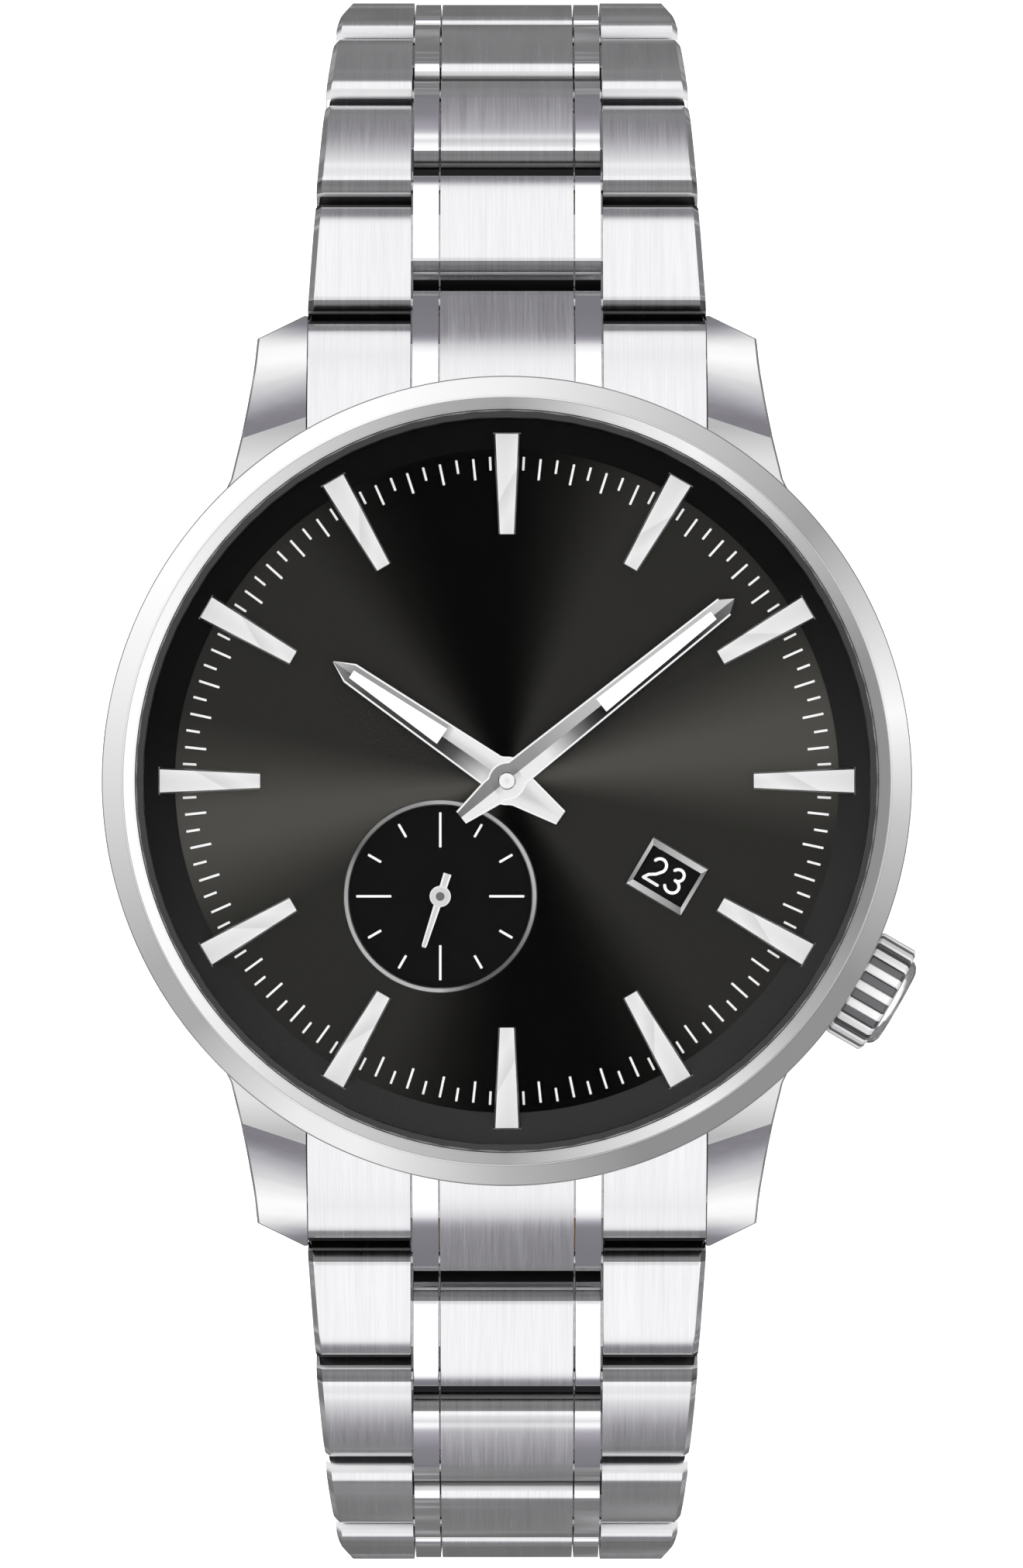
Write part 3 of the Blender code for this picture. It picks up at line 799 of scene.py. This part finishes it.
shape = hub_stations(-3.56, 0.445, 0.94, 1.33, [(10.4, 0.6), (11.5, 0.03)])
hour = [hand("h", shape, 7.44, 7.66, HOUR_A, h_left, h_right, edge_steel)]
pipe = cut(turned("pipe", [(0, 6.3), (0.78, 6.3), (0.78, 7.5), (0, 7.5)], 32),
    turned("hole", [(0, 6), (0.56, 6), (0.56, 7.6), (0, 7.6)], 32))
hour.append(paint(pipe, PIN))
finish(merge("hour_hand_bar", hour), "hour_hand", ["hour_hand"], 0, 30, 20)
lume = wedge("minute_lume", 6.6, 0.445, 14.45, 0.265, 8.0, 8.125, MIN_A)
finish(paint(lume, LUME), "minute_hand", (), 0.015)
lume = wedge("hour_lume", 4.3, 0.5, 10.3, 0.24, 7.55, 7.685, HOUR_A)
finish(paint(lume, LUME), "hour_hand", (), 0.015)
shape = hub_stations(-1.3, 0.22, 0.2, 0.2, [(2.8, 0.14), (2.93, 0.1)])
seconds = [hand("s", shape, 7.1, 7.22, SECONDS_A, edge_steel, edge_steel, edge_steel, (sub_x, sub_y))]
hub = (
    ([(0, 7.1), (0.58, 7.1), (0.58, 7.28), (0.5, 7.34), (0, 7.36)], edge_steel),
    ([(0, 7.35), (0.24, 7.35), (0.24, 7.37), (0, 7.37)], plain("hub_well", (0.14, 0.14, 0.145), 0, 0.5)),
    ([(0, 5.4), (0.16, 5.4), (0.16, 7.2), (0, 7.2)], PIN),
)
for profile, m in hub:
    seconds.append(paint(place(turned("hub", profile, 40), AT_SUB), m))
pointer = merge("small_seconds_pointer", seconds)
finish(pointer, "small_seconds_hand", ["small_seconds_hand"], 0, 30, 20)


# ---------------------------------------- date wheel and its numbers
# Strokes of each digit, one high, standing on y = 0.
DIGITS = {
    "0": [arc(0, 0.5, 0.3, 0.5, 0, 360, 24)],
    "1": [[(-0.16, 0.82), (0.08, 1.0), (0.08, 0.0)]],
    "2": [arc(0, 0.72, 0.27, 0.28, 160, -30, 12) + [(0.05, 0.36), (-0.2, 0.2), (-0.33, 0.0), (0.32, 0.0)]],
    "3": [arc(0, 0.76, 0.24, 0.24, 155, -90, 12), arc(0, 0.265, 0.29, 0.265, 90, -155, 14)],
    "4": [[(0.15, 0.0), (0.15, 1.0), (-0.32, 0.28), (0.34, 0.28)]],
    "5": [[(0.26, 1.0), (-0.18, 1.0), (-0.25, 0.56)] + arc(0, 0.33, 0.29, 0.33, 115, -150, 14)],
    "6": [[(0.16, 1.0), (-0.1, 0.72)] + arc(0, 0.31, 0.29, 0.31, 150, 510, 22)],
    "7": [[(-0.28, 1.0), (0.3, 1.0), (-0.08, 0.0)]],
    "8": [arc(0, 0.76, 0.23, 0.24, 90, 450, 20), arc(0, 0.265, 0.28, 0.265, 90, 450, 20)],
    "9": [arc(0, 0.69, 0.29, 0.31, -30, 330, 22) + [(0.1, 0.28), (-0.16, 0.0)]],
}


def number(text):
    """Flat round-ended strokes, centred on the origin, reading along +X."""
    verts, faces = [], []
    height, stroke, advance = 1.38, 0.165, 1.1454
    for i, digit in enumerate(text):
        cx = (i - (len(text) - 1) / 2) * advance
        for path in DIGITS[digit]:
            pts = [(cx + x * height, (y - 0.5) * height) for x, y in path]
            for (ax, ay), (bx, by) in zip(pts, pts[1:]):
                length = math.hypot(bx - ax, by - ay) or 1
                px, py = -(by - ay) / length * stroke / 2, (bx - ax) / length * stroke / 2
                k = len(verts)
                verts += [(ax + px, ay + py, 0), (ax - px, ay - py, 0), (bx - px, by - py, 0),
                    (bx + px, by + py, 0)]
                faces.append((k, k + 1, k + 2, k + 3))
            for x, y in pts:
                k = len(verts)
                verts += [(p, q, 0) for p, q in circle(stroke / 2, 10, x, y)]
                faces.append(tuple(range(k, k + 10)))
    return add_mesh("number", verts, faces)


numbers = []
for day in range(1, 32):
    item = number(str(day))
    place(item, Matrix.Translation((DATE[0] - 0.06, 0, 6.368)))
    place(item, Matrix.Rotation(math.radians(90 - DATE[1] - (day - SHOWN_DAY) * 360 / 31), 4, "Z"))
    numbers.append(item)
finish(paint(merge("date_numbers", numbers), WHITE_PRINT_GLOW), "date_wheel", ())
paint(nodes["date_wheel"], BLACK)
# A black sheet painted in as the shade under the date wheel; it keeps the movement's gilt plate from
# showing through the gaps in the date wheel.
shade_sheet = turned("date_shade_sheet", [(8.2, 6.11), (12.2, 6.11), (12.2, 6.15), (8.2, 6.15)], 64)
finish(paint(shade_sheet, BLACK), "case", ())

# ---------------------------------------- crown
FLUTES = 18
GROOVE_R, RIB_R, ROUND_R = 2.93, 3.16, 3.0
# Each flute is a groove and a rib. The stations are (x, size, share of the plain round end).
outline = []
for k in range(FLUTES):
    for t, r in ((0.02, GROOVE_R), (0.46, GROOVE_R), (0.5, 3.08), (0.56, RIB_R), (0.92, RIB_R),
        (0.98, 3.08)):
        a = 2 * math.pi * (k + t - 0.74) / FLUTES + math.pi / 2
        outline.append((r * math.cos(a), r * math.sin(a)))
stations = ((21.95, 0.95, 0), (22.12, 1.0, 0), (24.02, 1.0, 0), (24.18, 0.955, 0.2), (24.22, 0.86, 1),
    (24.36, 0.85, 1), (24.56, 0.8, 1), (24.7, 0.7, 1))
rings = []
for x, size, plain_end in stations:
    ring = []
    for p, q in outline:
        r = math.hypot(p, q)
        to = (r * (1 - plain_end) + ROUND_R * plain_end) * size / r
        ring.append((x, p * to, q * to))
    rings.append(ring)
crown = loft("crown_fluted", rings)
cut(crown, rod_x("skirt", 1.25, 21, 23.3, 24), rod_x("seat", 0.5, 22, 24.0, 16))
paint(along_stem(crown), STEEL)
# Painted light on the flutes: near-white ribs as a highlight, dark grey grooves as shade.
for m in (plain("crown_rib_painted_highlight", (0.97, 0.97, 0.975), 0.15, 0.3),
    plain("crown_groove_painted_shade", (0.16, 0.16, 0.165), 0.9, 0.4)):
    crown.data.materials.append(m)
for face in crown.data.polygons:
    c = Matrix.Rotation(math.radians(30), 4, "Z") @ Vector(face.center)
    if 22.0 < c.x < 24.15:
        in_groove = math.hypot(c.y, c.z - STEM_Z) < 3.03
        face.material_index = 2 if in_groove else 1
finish(crown, "crown", ["crown"], 0.04, 28, 25)


# ---------------------------------------- bracelet
# In a link's own frame, u runs along the bracelet from its pin, v points outwards, and x is the watch's X.
TOP, FLOOR = 1.3, -1.3
SEAM = 0.1
# The end link gets painted shade only beyond this u (mm).
END_SHADE_FROM = 24.2
# The curled lip under a link's end, as (outward from the end, v).
LIP = ((0, -0.3), (0.1, -0.62), (0.28, -0.93), (0.52, -1.18), (0.72, FLOOR), (0.6, -1.5), (0.2, -1.6),
    (-0.4, -1.45), (-1.0, FLOOR))


def frame_at(side, y, z, heading):
    """A link frame at Y and Z that slopes down by heading degrees; side is 1 for 12 o'clock, -1 for 6."""
    h = math.radians(heading)

    def to_world(u, v, x):
        return x, side * (y + u * math.cos(h) + v * math.sin(h)), z - u * math.sin(h) + v * math.cos(h)

    return to_world


def tube(at, u, v, r, x0, x1, n=32):
    return loft("tube", [[at(u + a, v + b, x) for a, b in circle(r, n)] for x in (x0, x1)])


def bar(at, outline, xs, drop=(), pull=()):
    """The outline extruded through the stations xs, each a number or a function of u.

    At each station, drop lowers the top and pull shortens the outline.
    """
    us = [u for u, v in outline]
    mid, half = (max(us) + min(us)) / 2, (max(us) - min(us)) / 2
    rings = []
    for i, x in enumerate(xs):
        lower, shorten = drop[i] if drop else 0, pull[i] if pull else 0
        ring = []
        for u, v in outline:
            share = max(0.0, min(1.0, (v + 0.6) / 1.9))
            s = mid + (u - mid) * (1 - shorten / half)
            ring.append(at(s, v - lower * share, x(s) if callable(x) else x))
        rings.append(ring)
    return loft("bar", rings)


def darkened(obj, outline, material, row):
    """Gives a bar a painted highlight on its edge, painted shade on its shoulder and painted shade on its
    steep ends; row 0 is the end link.
    """
    mats = obj.data.materials
    if not mats:
        mats.append(material)
    dark = len(mats)
    edge, shoulder = dark + 1, dark + 2
    for m in (RECESS_SHADE, EDGE_HIGHLIGHT, SHOULDER_SHADE):
        mats.append(m)
    n = len(outline)
    walls = n * (len(obj.data.vertices) // n - 1)
    edge_sides, near_sides = (2, 7) if row < 3 else (4, 4)
    for face in obj.data.polygons:
        if face.index >= walls:
            continue
        k = face.index % n
        (a, b), (c, d) = outline[k], outline[(k + 1) % n]
        high, low = max(b, d), min(b, d)
        steep = d > 0.5 and abs(d - b) > 1.9 * abs(c - a)
        falling = high < 1.05 and low > -1.2 and b > d + 0.02
        under = high < 0.4 and low > FLOOR
        if row == 0 and min(a, c) < END_SHADE_FROM:
            continue
        if row and k < near_sides:
            face.material_index = edge if k < edge_sides else shoulder
        elif steep or falling or under:
            face.material_index = dark
    return obj


def side_view(u0, u1, soft, corner, lip, crown):
    """A link from the side: a full shoulder at u0, and a crowned top that turns down over the last soft mm.

    lip is 1 for a lip under u1 and a round corner at u0, or -1 for the reverse.
    """
    a = u0 + 0.9
    points = arc(a, 0.4, 0.9, 0.9, 180, 98, 9)
    for k in range(1, 21):
        u = a + (u1 - a) * k / 20
        v = TOP + crown * (1 - (2 * (u - a) / (u1 - a) - 1) ** 2)
        over = max(0.0, u - (u1 - soft))
        points.append((u, v - 0.29 * over * over / soft - 0.07 * max(0.0, 1 - (u - a) / 0.8) ** 2))
    u, v = points.pop()
    points += [(u1 - 0.12, v + 0.03), (u1 - 0.03, v - 0.05), (u1, v - 0.14)]
    if lip > 0:
        points += [(u1 + p, q) for p, q in LIP]
        points += arc(u0 + corner, FLOOR + corner, corner, corner, -90, -180, 5)
    else:
        points += arc(u1 - corner, FLOOR + corner, corner, corner, 0, -90, 5)
        points += [(u0 - p, q) for p, q in reversed(LIP)]
    return points


def half_width(row):
    """Half the bracelet's width at the far end of a row."""
    return max(9.0, 10.95 - 0.45 * row)


def centre_piece(at, outline, row):
    return darkened(bar(at, outline, (-STRIP + 0.03, STRIP - 0.03)), outline, BRUSHED, row)


def strip_piece(at, outline, sx, row):
    return darkened(bar(at, outline, (sx * (STRIP + 0.05), sx * HALF_C)), outline, STRIP_STEEL, row)


def outer_piece(at, outline, sx, w0, w1, row):
    """A brushed outer piece with a polished edge, whose half width goes from w0 to w1 over one pitch."""

    def edge(u):
        return sx * (w0 + (w1 - w0) * u / PITCH)

    def inset(u):
        return edge(u) - sx * 0.32

    piece = bar(at, outline, (sx * (HALF_C + SEAM), inset, edge), (0, 0, 0.36), (0, 0, 0.1))
    piece.data.materials.append(BRUSHED)
    piece.data.materials.append(STRIP_STEEL)
    n = len(outline)
    for face in piece.data.polygons:
        face.material_index = 1 if n <= face.index < 2 * n or face.index == 2 * n + 1 else 0
    return darkened(piece, outline, BRUSHED, row)


def is_middle(part):
    return max(abs(v.co.x) for v in part.data.vertices) < HALF_C + 0.05


def row_piece(side, row, y, z, heading, last_open):
    """One row of links; the last open one ends short and has no bore, to clear the clasp's free end."""
    at = frame_at(side, y, z, heading)
    first = row == 1
    reach = PITCH - 0.5 if last_open else PITCH + 0.8
    middle = side_view(1.55 if first else 1.15, reach, 2.1, 0.6, -1, 0.05 if first else 0.1)
    outer = side_view(-0.8 if first else -1.1, PITCH - 1.35, 1.8, 0.6 if first else 0.9, 1,
        0.15 if first else 0.2)
    parts = [centre_piece(at, middle, row)]
    for sx in (1, -1):
        parts.append(strip_piece(at, middle, sx, row))
        parts.append(outer_piece(at, outer, sx, half_width(row - 1), half_width(row), row))
    if not last_open:
        for part in filter(is_middle, parts):
            cut(part, tube(at, PITCH, 0, BORE_R, -HALF_C - 0.3, HALF_C + 0.3))
    core = [(2.2, -1.1), (5.0, -1.1), (5.0, 0.8), (2.2, 0.8)]
    parts.append(paint(bar(at, core, (-HALF_C - 0.4, HALF_C + 0.4)), PIN))
    parts.append(paint(tube(at, 0, 0, PIN_R, -HALF_C - 0.4, HALF_C + 0.4), PIN))
    label = f"{12 if side > 0 else 6}_{row}"
    name = f"link_{label}"
    return finish(merge(f"row_{label}", parts), name, [name], 0.07, 32, 24)


END_TOP = [(18.6, 0.2), (18.6, 6.6), (20.4, 6.05), (21.2, 5.7), (22.0, 5.3), (22.8, 4.84), (23.4, 4.46)]
END_OUTER = END_TOP + [(24.0, 4.08), (24.4, 3.86), (24.7, 3.67), (24.98, 3.44), (25.17, 3.1), (25.32, 2.7),
    (25.37, 2.3), (25.3, 1.6), (25.12, 0.95), (25.12, 0.62), (25.24, 0.25), (25.45, -0.05), (25.75, -0.25),
    (25.7, -0.5), (25.2, -0.6), (24.4, -0.5), (21.0, -0.3)]
END_MIDDLE = END_TOP + [(24.0, 4.03), (24.4, 3.72), (24.8, 3.38), (25.3, 2.94), (25.8, 2.49), (26.3, 2.03),
    (26.7, 1.66), (26.95, 1.43), (27.06, 1.3), (27.1, 1.15)]
END_MIDDLE += arc(26.5, 0.3, 0.6, 0.6, 0, -90, 6) + [(21.0, -0.3)]


def case_side(r):
    """A cutter with the shape of the case, which the end link fits against."""
    return turned("case_side", [(0, -2), (r, -2), (r, 7.95), (0, 7.95)], 128)


def end_piece(side):
    at = frame_at(side, 0, 0, 0)
    parts = [centre_piece(at, END_MIDDLE, 0)]
    parts += [strip_piece(at, END_MIDDLE, sx, 0) for sx in (1, -1)]
    for sx in (1, -1):
        outer = bar(at, END_OUTER, (sx * (HALF_C + SEAM), sx * 10.94))
        parts.append(darkened(outer, END_OUTER, BRUSHED, 0))
    for part in parts:
        cut(part, case_side(CASE_R + 0.15), tube(at, *BAR_YZ, BAR_HOLE_R, -12, 12))
        if is_middle(part):
            cut(part, tube(at, *PIN0, BORE_R, -HALF_C - 0.3, HALF_C + 0.3))
    bridge = bar(at, [(19, 0.3), (24.1, -0.1), (24.1, 2.6), (19, 5.0)], (-HALF_C - 0.4, HALF_C + 0.4))
    cut(bridge, case_side(CASE_R + 0.2), tube(at, *BAR_YZ, BAR_HOLE_R + 0.01, -12, 12))
    parts.append(paint(bridge, PIN))
    hour = 12 if side > 0 else 6
    piece = merge(f"end_piece_{hour}", parts)
    return finish(piece, "case", [f"end_link_{hour}"], 0.06, 34, 24)


for side in (1, -1):
    end_piece(side)
    y, z = PIN0
    for row, heading in enumerate(HEADINGS, 1):
        row_piece(side, row, y, z, heading, side < 0 and row == 9)
        slope = math.radians(heading)
        y, z = y + PITCH * math.cos(slope), z - PITCH * math.sin(slope)

# ---------------------------------------- folding clasp
for node in ("clasp_spring_bar", "clasp_hinge_pin", "clasp_fold_pin"):
    paint(nodes[node], PIN)
for node in ("clasp_cover", "clasp_blade_a", "clasp_blade_b", "clasp_button_3", "clasp_button_9"):
    rounded(paint(nodes[node], STRIP_STEEL if "button" in node else CLASP), 0.12)

# ---------------------------------------- movement and case back
GILT = brushed("gilt_plate_look", 0.85, LINES_X, 0.3, 0.15, 0.06, tint=(1.0, 0.76, 0.42))
RHODIUM = brushed("rhodium_stripes", 0.78, LINES_X, 0.3, 0.2, 0.06)
BRASS = Nodes("brass_look", (0.86, 0.62, 0.27, 1), 1.0, 0.28).mat
RUBY = Nodes("ruby_jewel", (0.55, 0.01, 0.06, 1), 0.0, 0.08, Coat_Weight=1.0, Coat_Roughness=0.03).mat
BLUED = Nodes("blued_screw", (0.03, 0.06, 0.3, 1), 1.0, 0.2).mat
paint(nodes["movement_plate"], GILT)
paint(nodes["case_back"], BACK)
paint(nodes["case_back_glass"], GLASS)
for node in ("train_bridge", "balance_cock", "rotor"):
    rounded(paint(nodes[node], GILT if node == "rotor" else RHODIUM), 0.08)
paint(nodes["balance_wheel"], BRASS)
# Jewels at (x, y, z) and screws at (x, y, z, turn of the slot), on the faces seen through the case back.
JEWELS = ((4.0, -5.0, 3.1), (7.6, -1.6, 3.1), (-1.5, -8.4, 3.1), (8.2, 4.0, 3.1), (0.8, 7.0, 3.1),
    (-4.6, -6.2, 3.1), (-6.2, 4.6, 3.12))
SCREWS = ((10.4, -5.2, 3.1, 25), (-9.6, -6.0, 3.1, 70), (1.6, -11.2, 3.1, 140), (9.4, 7.2, 3.1, 100),
    (0.4, 11.2, 3.1, 10), (-9.49, 2.7, 3.12, 55))
setting = [(0.5, 0), (0.85, 0), (0.85, -0.05), (0.78, -0.08), (0.56, -0.08), (0.5, -0.04)]
stone = [(0, 0), (0.52, 0), (0.52, -0.05), (0.14, -0.05), (0.1, -0.02), (0, -0.02)]
jewels = []
for spot in JEWELS:
    for profile, m in ((setting, BRASS), (stone, RUBY)):
        jewels.append(paint(place(turned("jewel", profile, 32), Matrix.Translation(spot)), m))
finish(merge("ruby_jewels", jewels), "case", ())
screws = []
for x, y, z, turn in SCREWS:
    head = turned("screw", [(0, 0), (0.62, 0), (0.62, -0.12), (0.54, -0.2), (0, -0.2)], 32)
    cut(head, box("slot", -0.7, 0.7, -0.09, 0.09, -0.3, -0.1))
    spot = Matrix.Translation((x, y, z)) @ Matrix.Rotation(math.radians(turn), 4, "Z")
    screws.append(paint(place(head, spot), BLUED))
finish(merge("blued_screws", screws), "case", ())


# ---------------------------------------- floor, light and camera
FLOOR_HALF = 3
floor = add_mesh("floor", [(sx * FLOOR_HALF, sy * FLOOR_HALF, 0) for sx, sy in CORNERS], [(0, 1, 2, 3)])
floor.location = (0, 0, cad_box[0][2] - 0.2 * MM)
# White where it is seen, but dark to the steel above it, as a pale floor under a lit watch is.
pale = Nodes("pale_floor", rough=0.9, Emission_Color=(1, 1, 1, 1))
spots = pale.noise(pale.coord, 40, 3)
seen = pale.tree.nodes.new("ShaderNodeLightPath").outputs["Is Camera Ray"]
tone = pale.math("ADD", pale.math("MULTIPLY", seen, 0.5), pale.math("MULTIPLY", spots, 0.8))
pale.wire(pale.ramp(tone, [(0.0, 0.1), (0.4, 0.16), (0.8, 0.9)]), "Base Color")
pale.wire(pale.math("MULTIPLY", seen, 0.8), "Emission Strength")
paint(floor, pale.mat)


# The room's brightness by degrees from overhead: ahead of and behind the watch, then at its sides.
ALONG_TONES = ((0, 0.8), (8, 0.85), (16, 1.08), (24, 1.15), (70, 1.15), (75, 0.9), (79, 0.42), (82, 0.25),
    (90, 0.2), (180, 0.2))
SIDE_TONES = ((0, 0.8), (8, 0.85), (16, 1.08), (24, 1.15), (70, 1.15), (78, 0.8), (85, 0.45), (92, 0.36),
    (180, 0.3))
COOL_SHADE, COOL_BELOW = (0.985, 0.955, 1.055), 0.7
BACKDROP = 0.95


def shade(v):
    return tuple(v * c for c in COOL_SHADE) + (1,) if v <= COOL_BELOW else v


def studio():
    """A white room with a soft dark patch overhead and dark walls ahead and behind near the horizon."""
    world = bpy.data.worlds.new("studio")
    bpy.context.scene.world = world
    world.use_nodes = True
    tree = world.node_tree
    n = Graph(tree, "Generated")
    x, y, z = n.split()
    height = n.math("MAXIMUM", n.math("MINIMUM", z, 0.9999), -0.9999)
    phi = n.math("DIVIDE", n.math("ARCCOSINE", height), math.pi)
    along = n.ramp(phi, [(angle / 180, shade(v)) for angle, v in ALONG_TONES])
    across = n.ramp(phi, [(angle / 180, v) for angle, v in SIDE_TONES])
    flat = n.math("SQRT", n.math("MAXIMUM", n.math("SUBTRACT", 1, n.math("MULTIPLY", z, z)), 0.0001))
    turn = n.range(n.math("ABSOLUTE", n.math("DIVIDE", x, flat)), 0.45, 0.9, 0, 1)
    room = tree.nodes["Background"]
    n.link(n.mix(turn, along, across), room.inputs["Color"])
    backdrop = tree.nodes.new("ShaderNodeBackground")
    backdrop.inputs["Color"].default_value = (BACKDROP, BACKDROP, BACKDROP, 1)
    join = tree.nodes.new("ShaderNodeMixShader")
    n.link(tree.nodes.new("ShaderNodeLightPath").outputs["Is Camera Ray"], join.inputs[0])
    n.link(room.outputs[0], join.inputs[1])
    n.link(backdrop.outputs[0], join.inputs[2])
    n.link(join.outputs[0], tree.nodes["World Output"].inputs["Surface"])


studio()

# A soft lamp above the left shoulder of the dial; it lights paint and lume, and steel doesn't mirror it.
LAMP_SIZE, LAMP_WATTS, LAMP_AT = (0.35, 0.25), 0.4, (-0.28, 0.5, 0.5)
lamp = bpy.data.lights.new("key", "AREA")
lamp.shape, lamp.energy = "RECTANGLE", LAMP_WATTS
lamp.size, lamp.size_y = LAMP_SIZE
key = add_object("key", lamp)
key.visible_glossy = False
key.location = LAMP_AT
key.rotation_euler = (-key.location).to_track_quat("-Z", "Y").to_euler()

# The camera looks straight down; its small offset centres the watch as the photograph does.
LENS, SENSOR, OFFSET = 219.0, 36, (0.25, -0.17)
view = bpy.data.cameras.new("camera")
view.sensor_fit, view.sensor_height, view.sensor_width = "VERTICAL", SENSOR, SENSOR
view.lens, view.clip_start = LENS, 0.01
camera = add_object("camera", view)
camera.location = (OFFSET[0] * MM, OFFSET[1] * MM, (FOCUS_Z + DISTANCE) * MM)
bpy.context.scene.camera = camera
bpy.context.scene.view_settings.view_transform = "Standard"
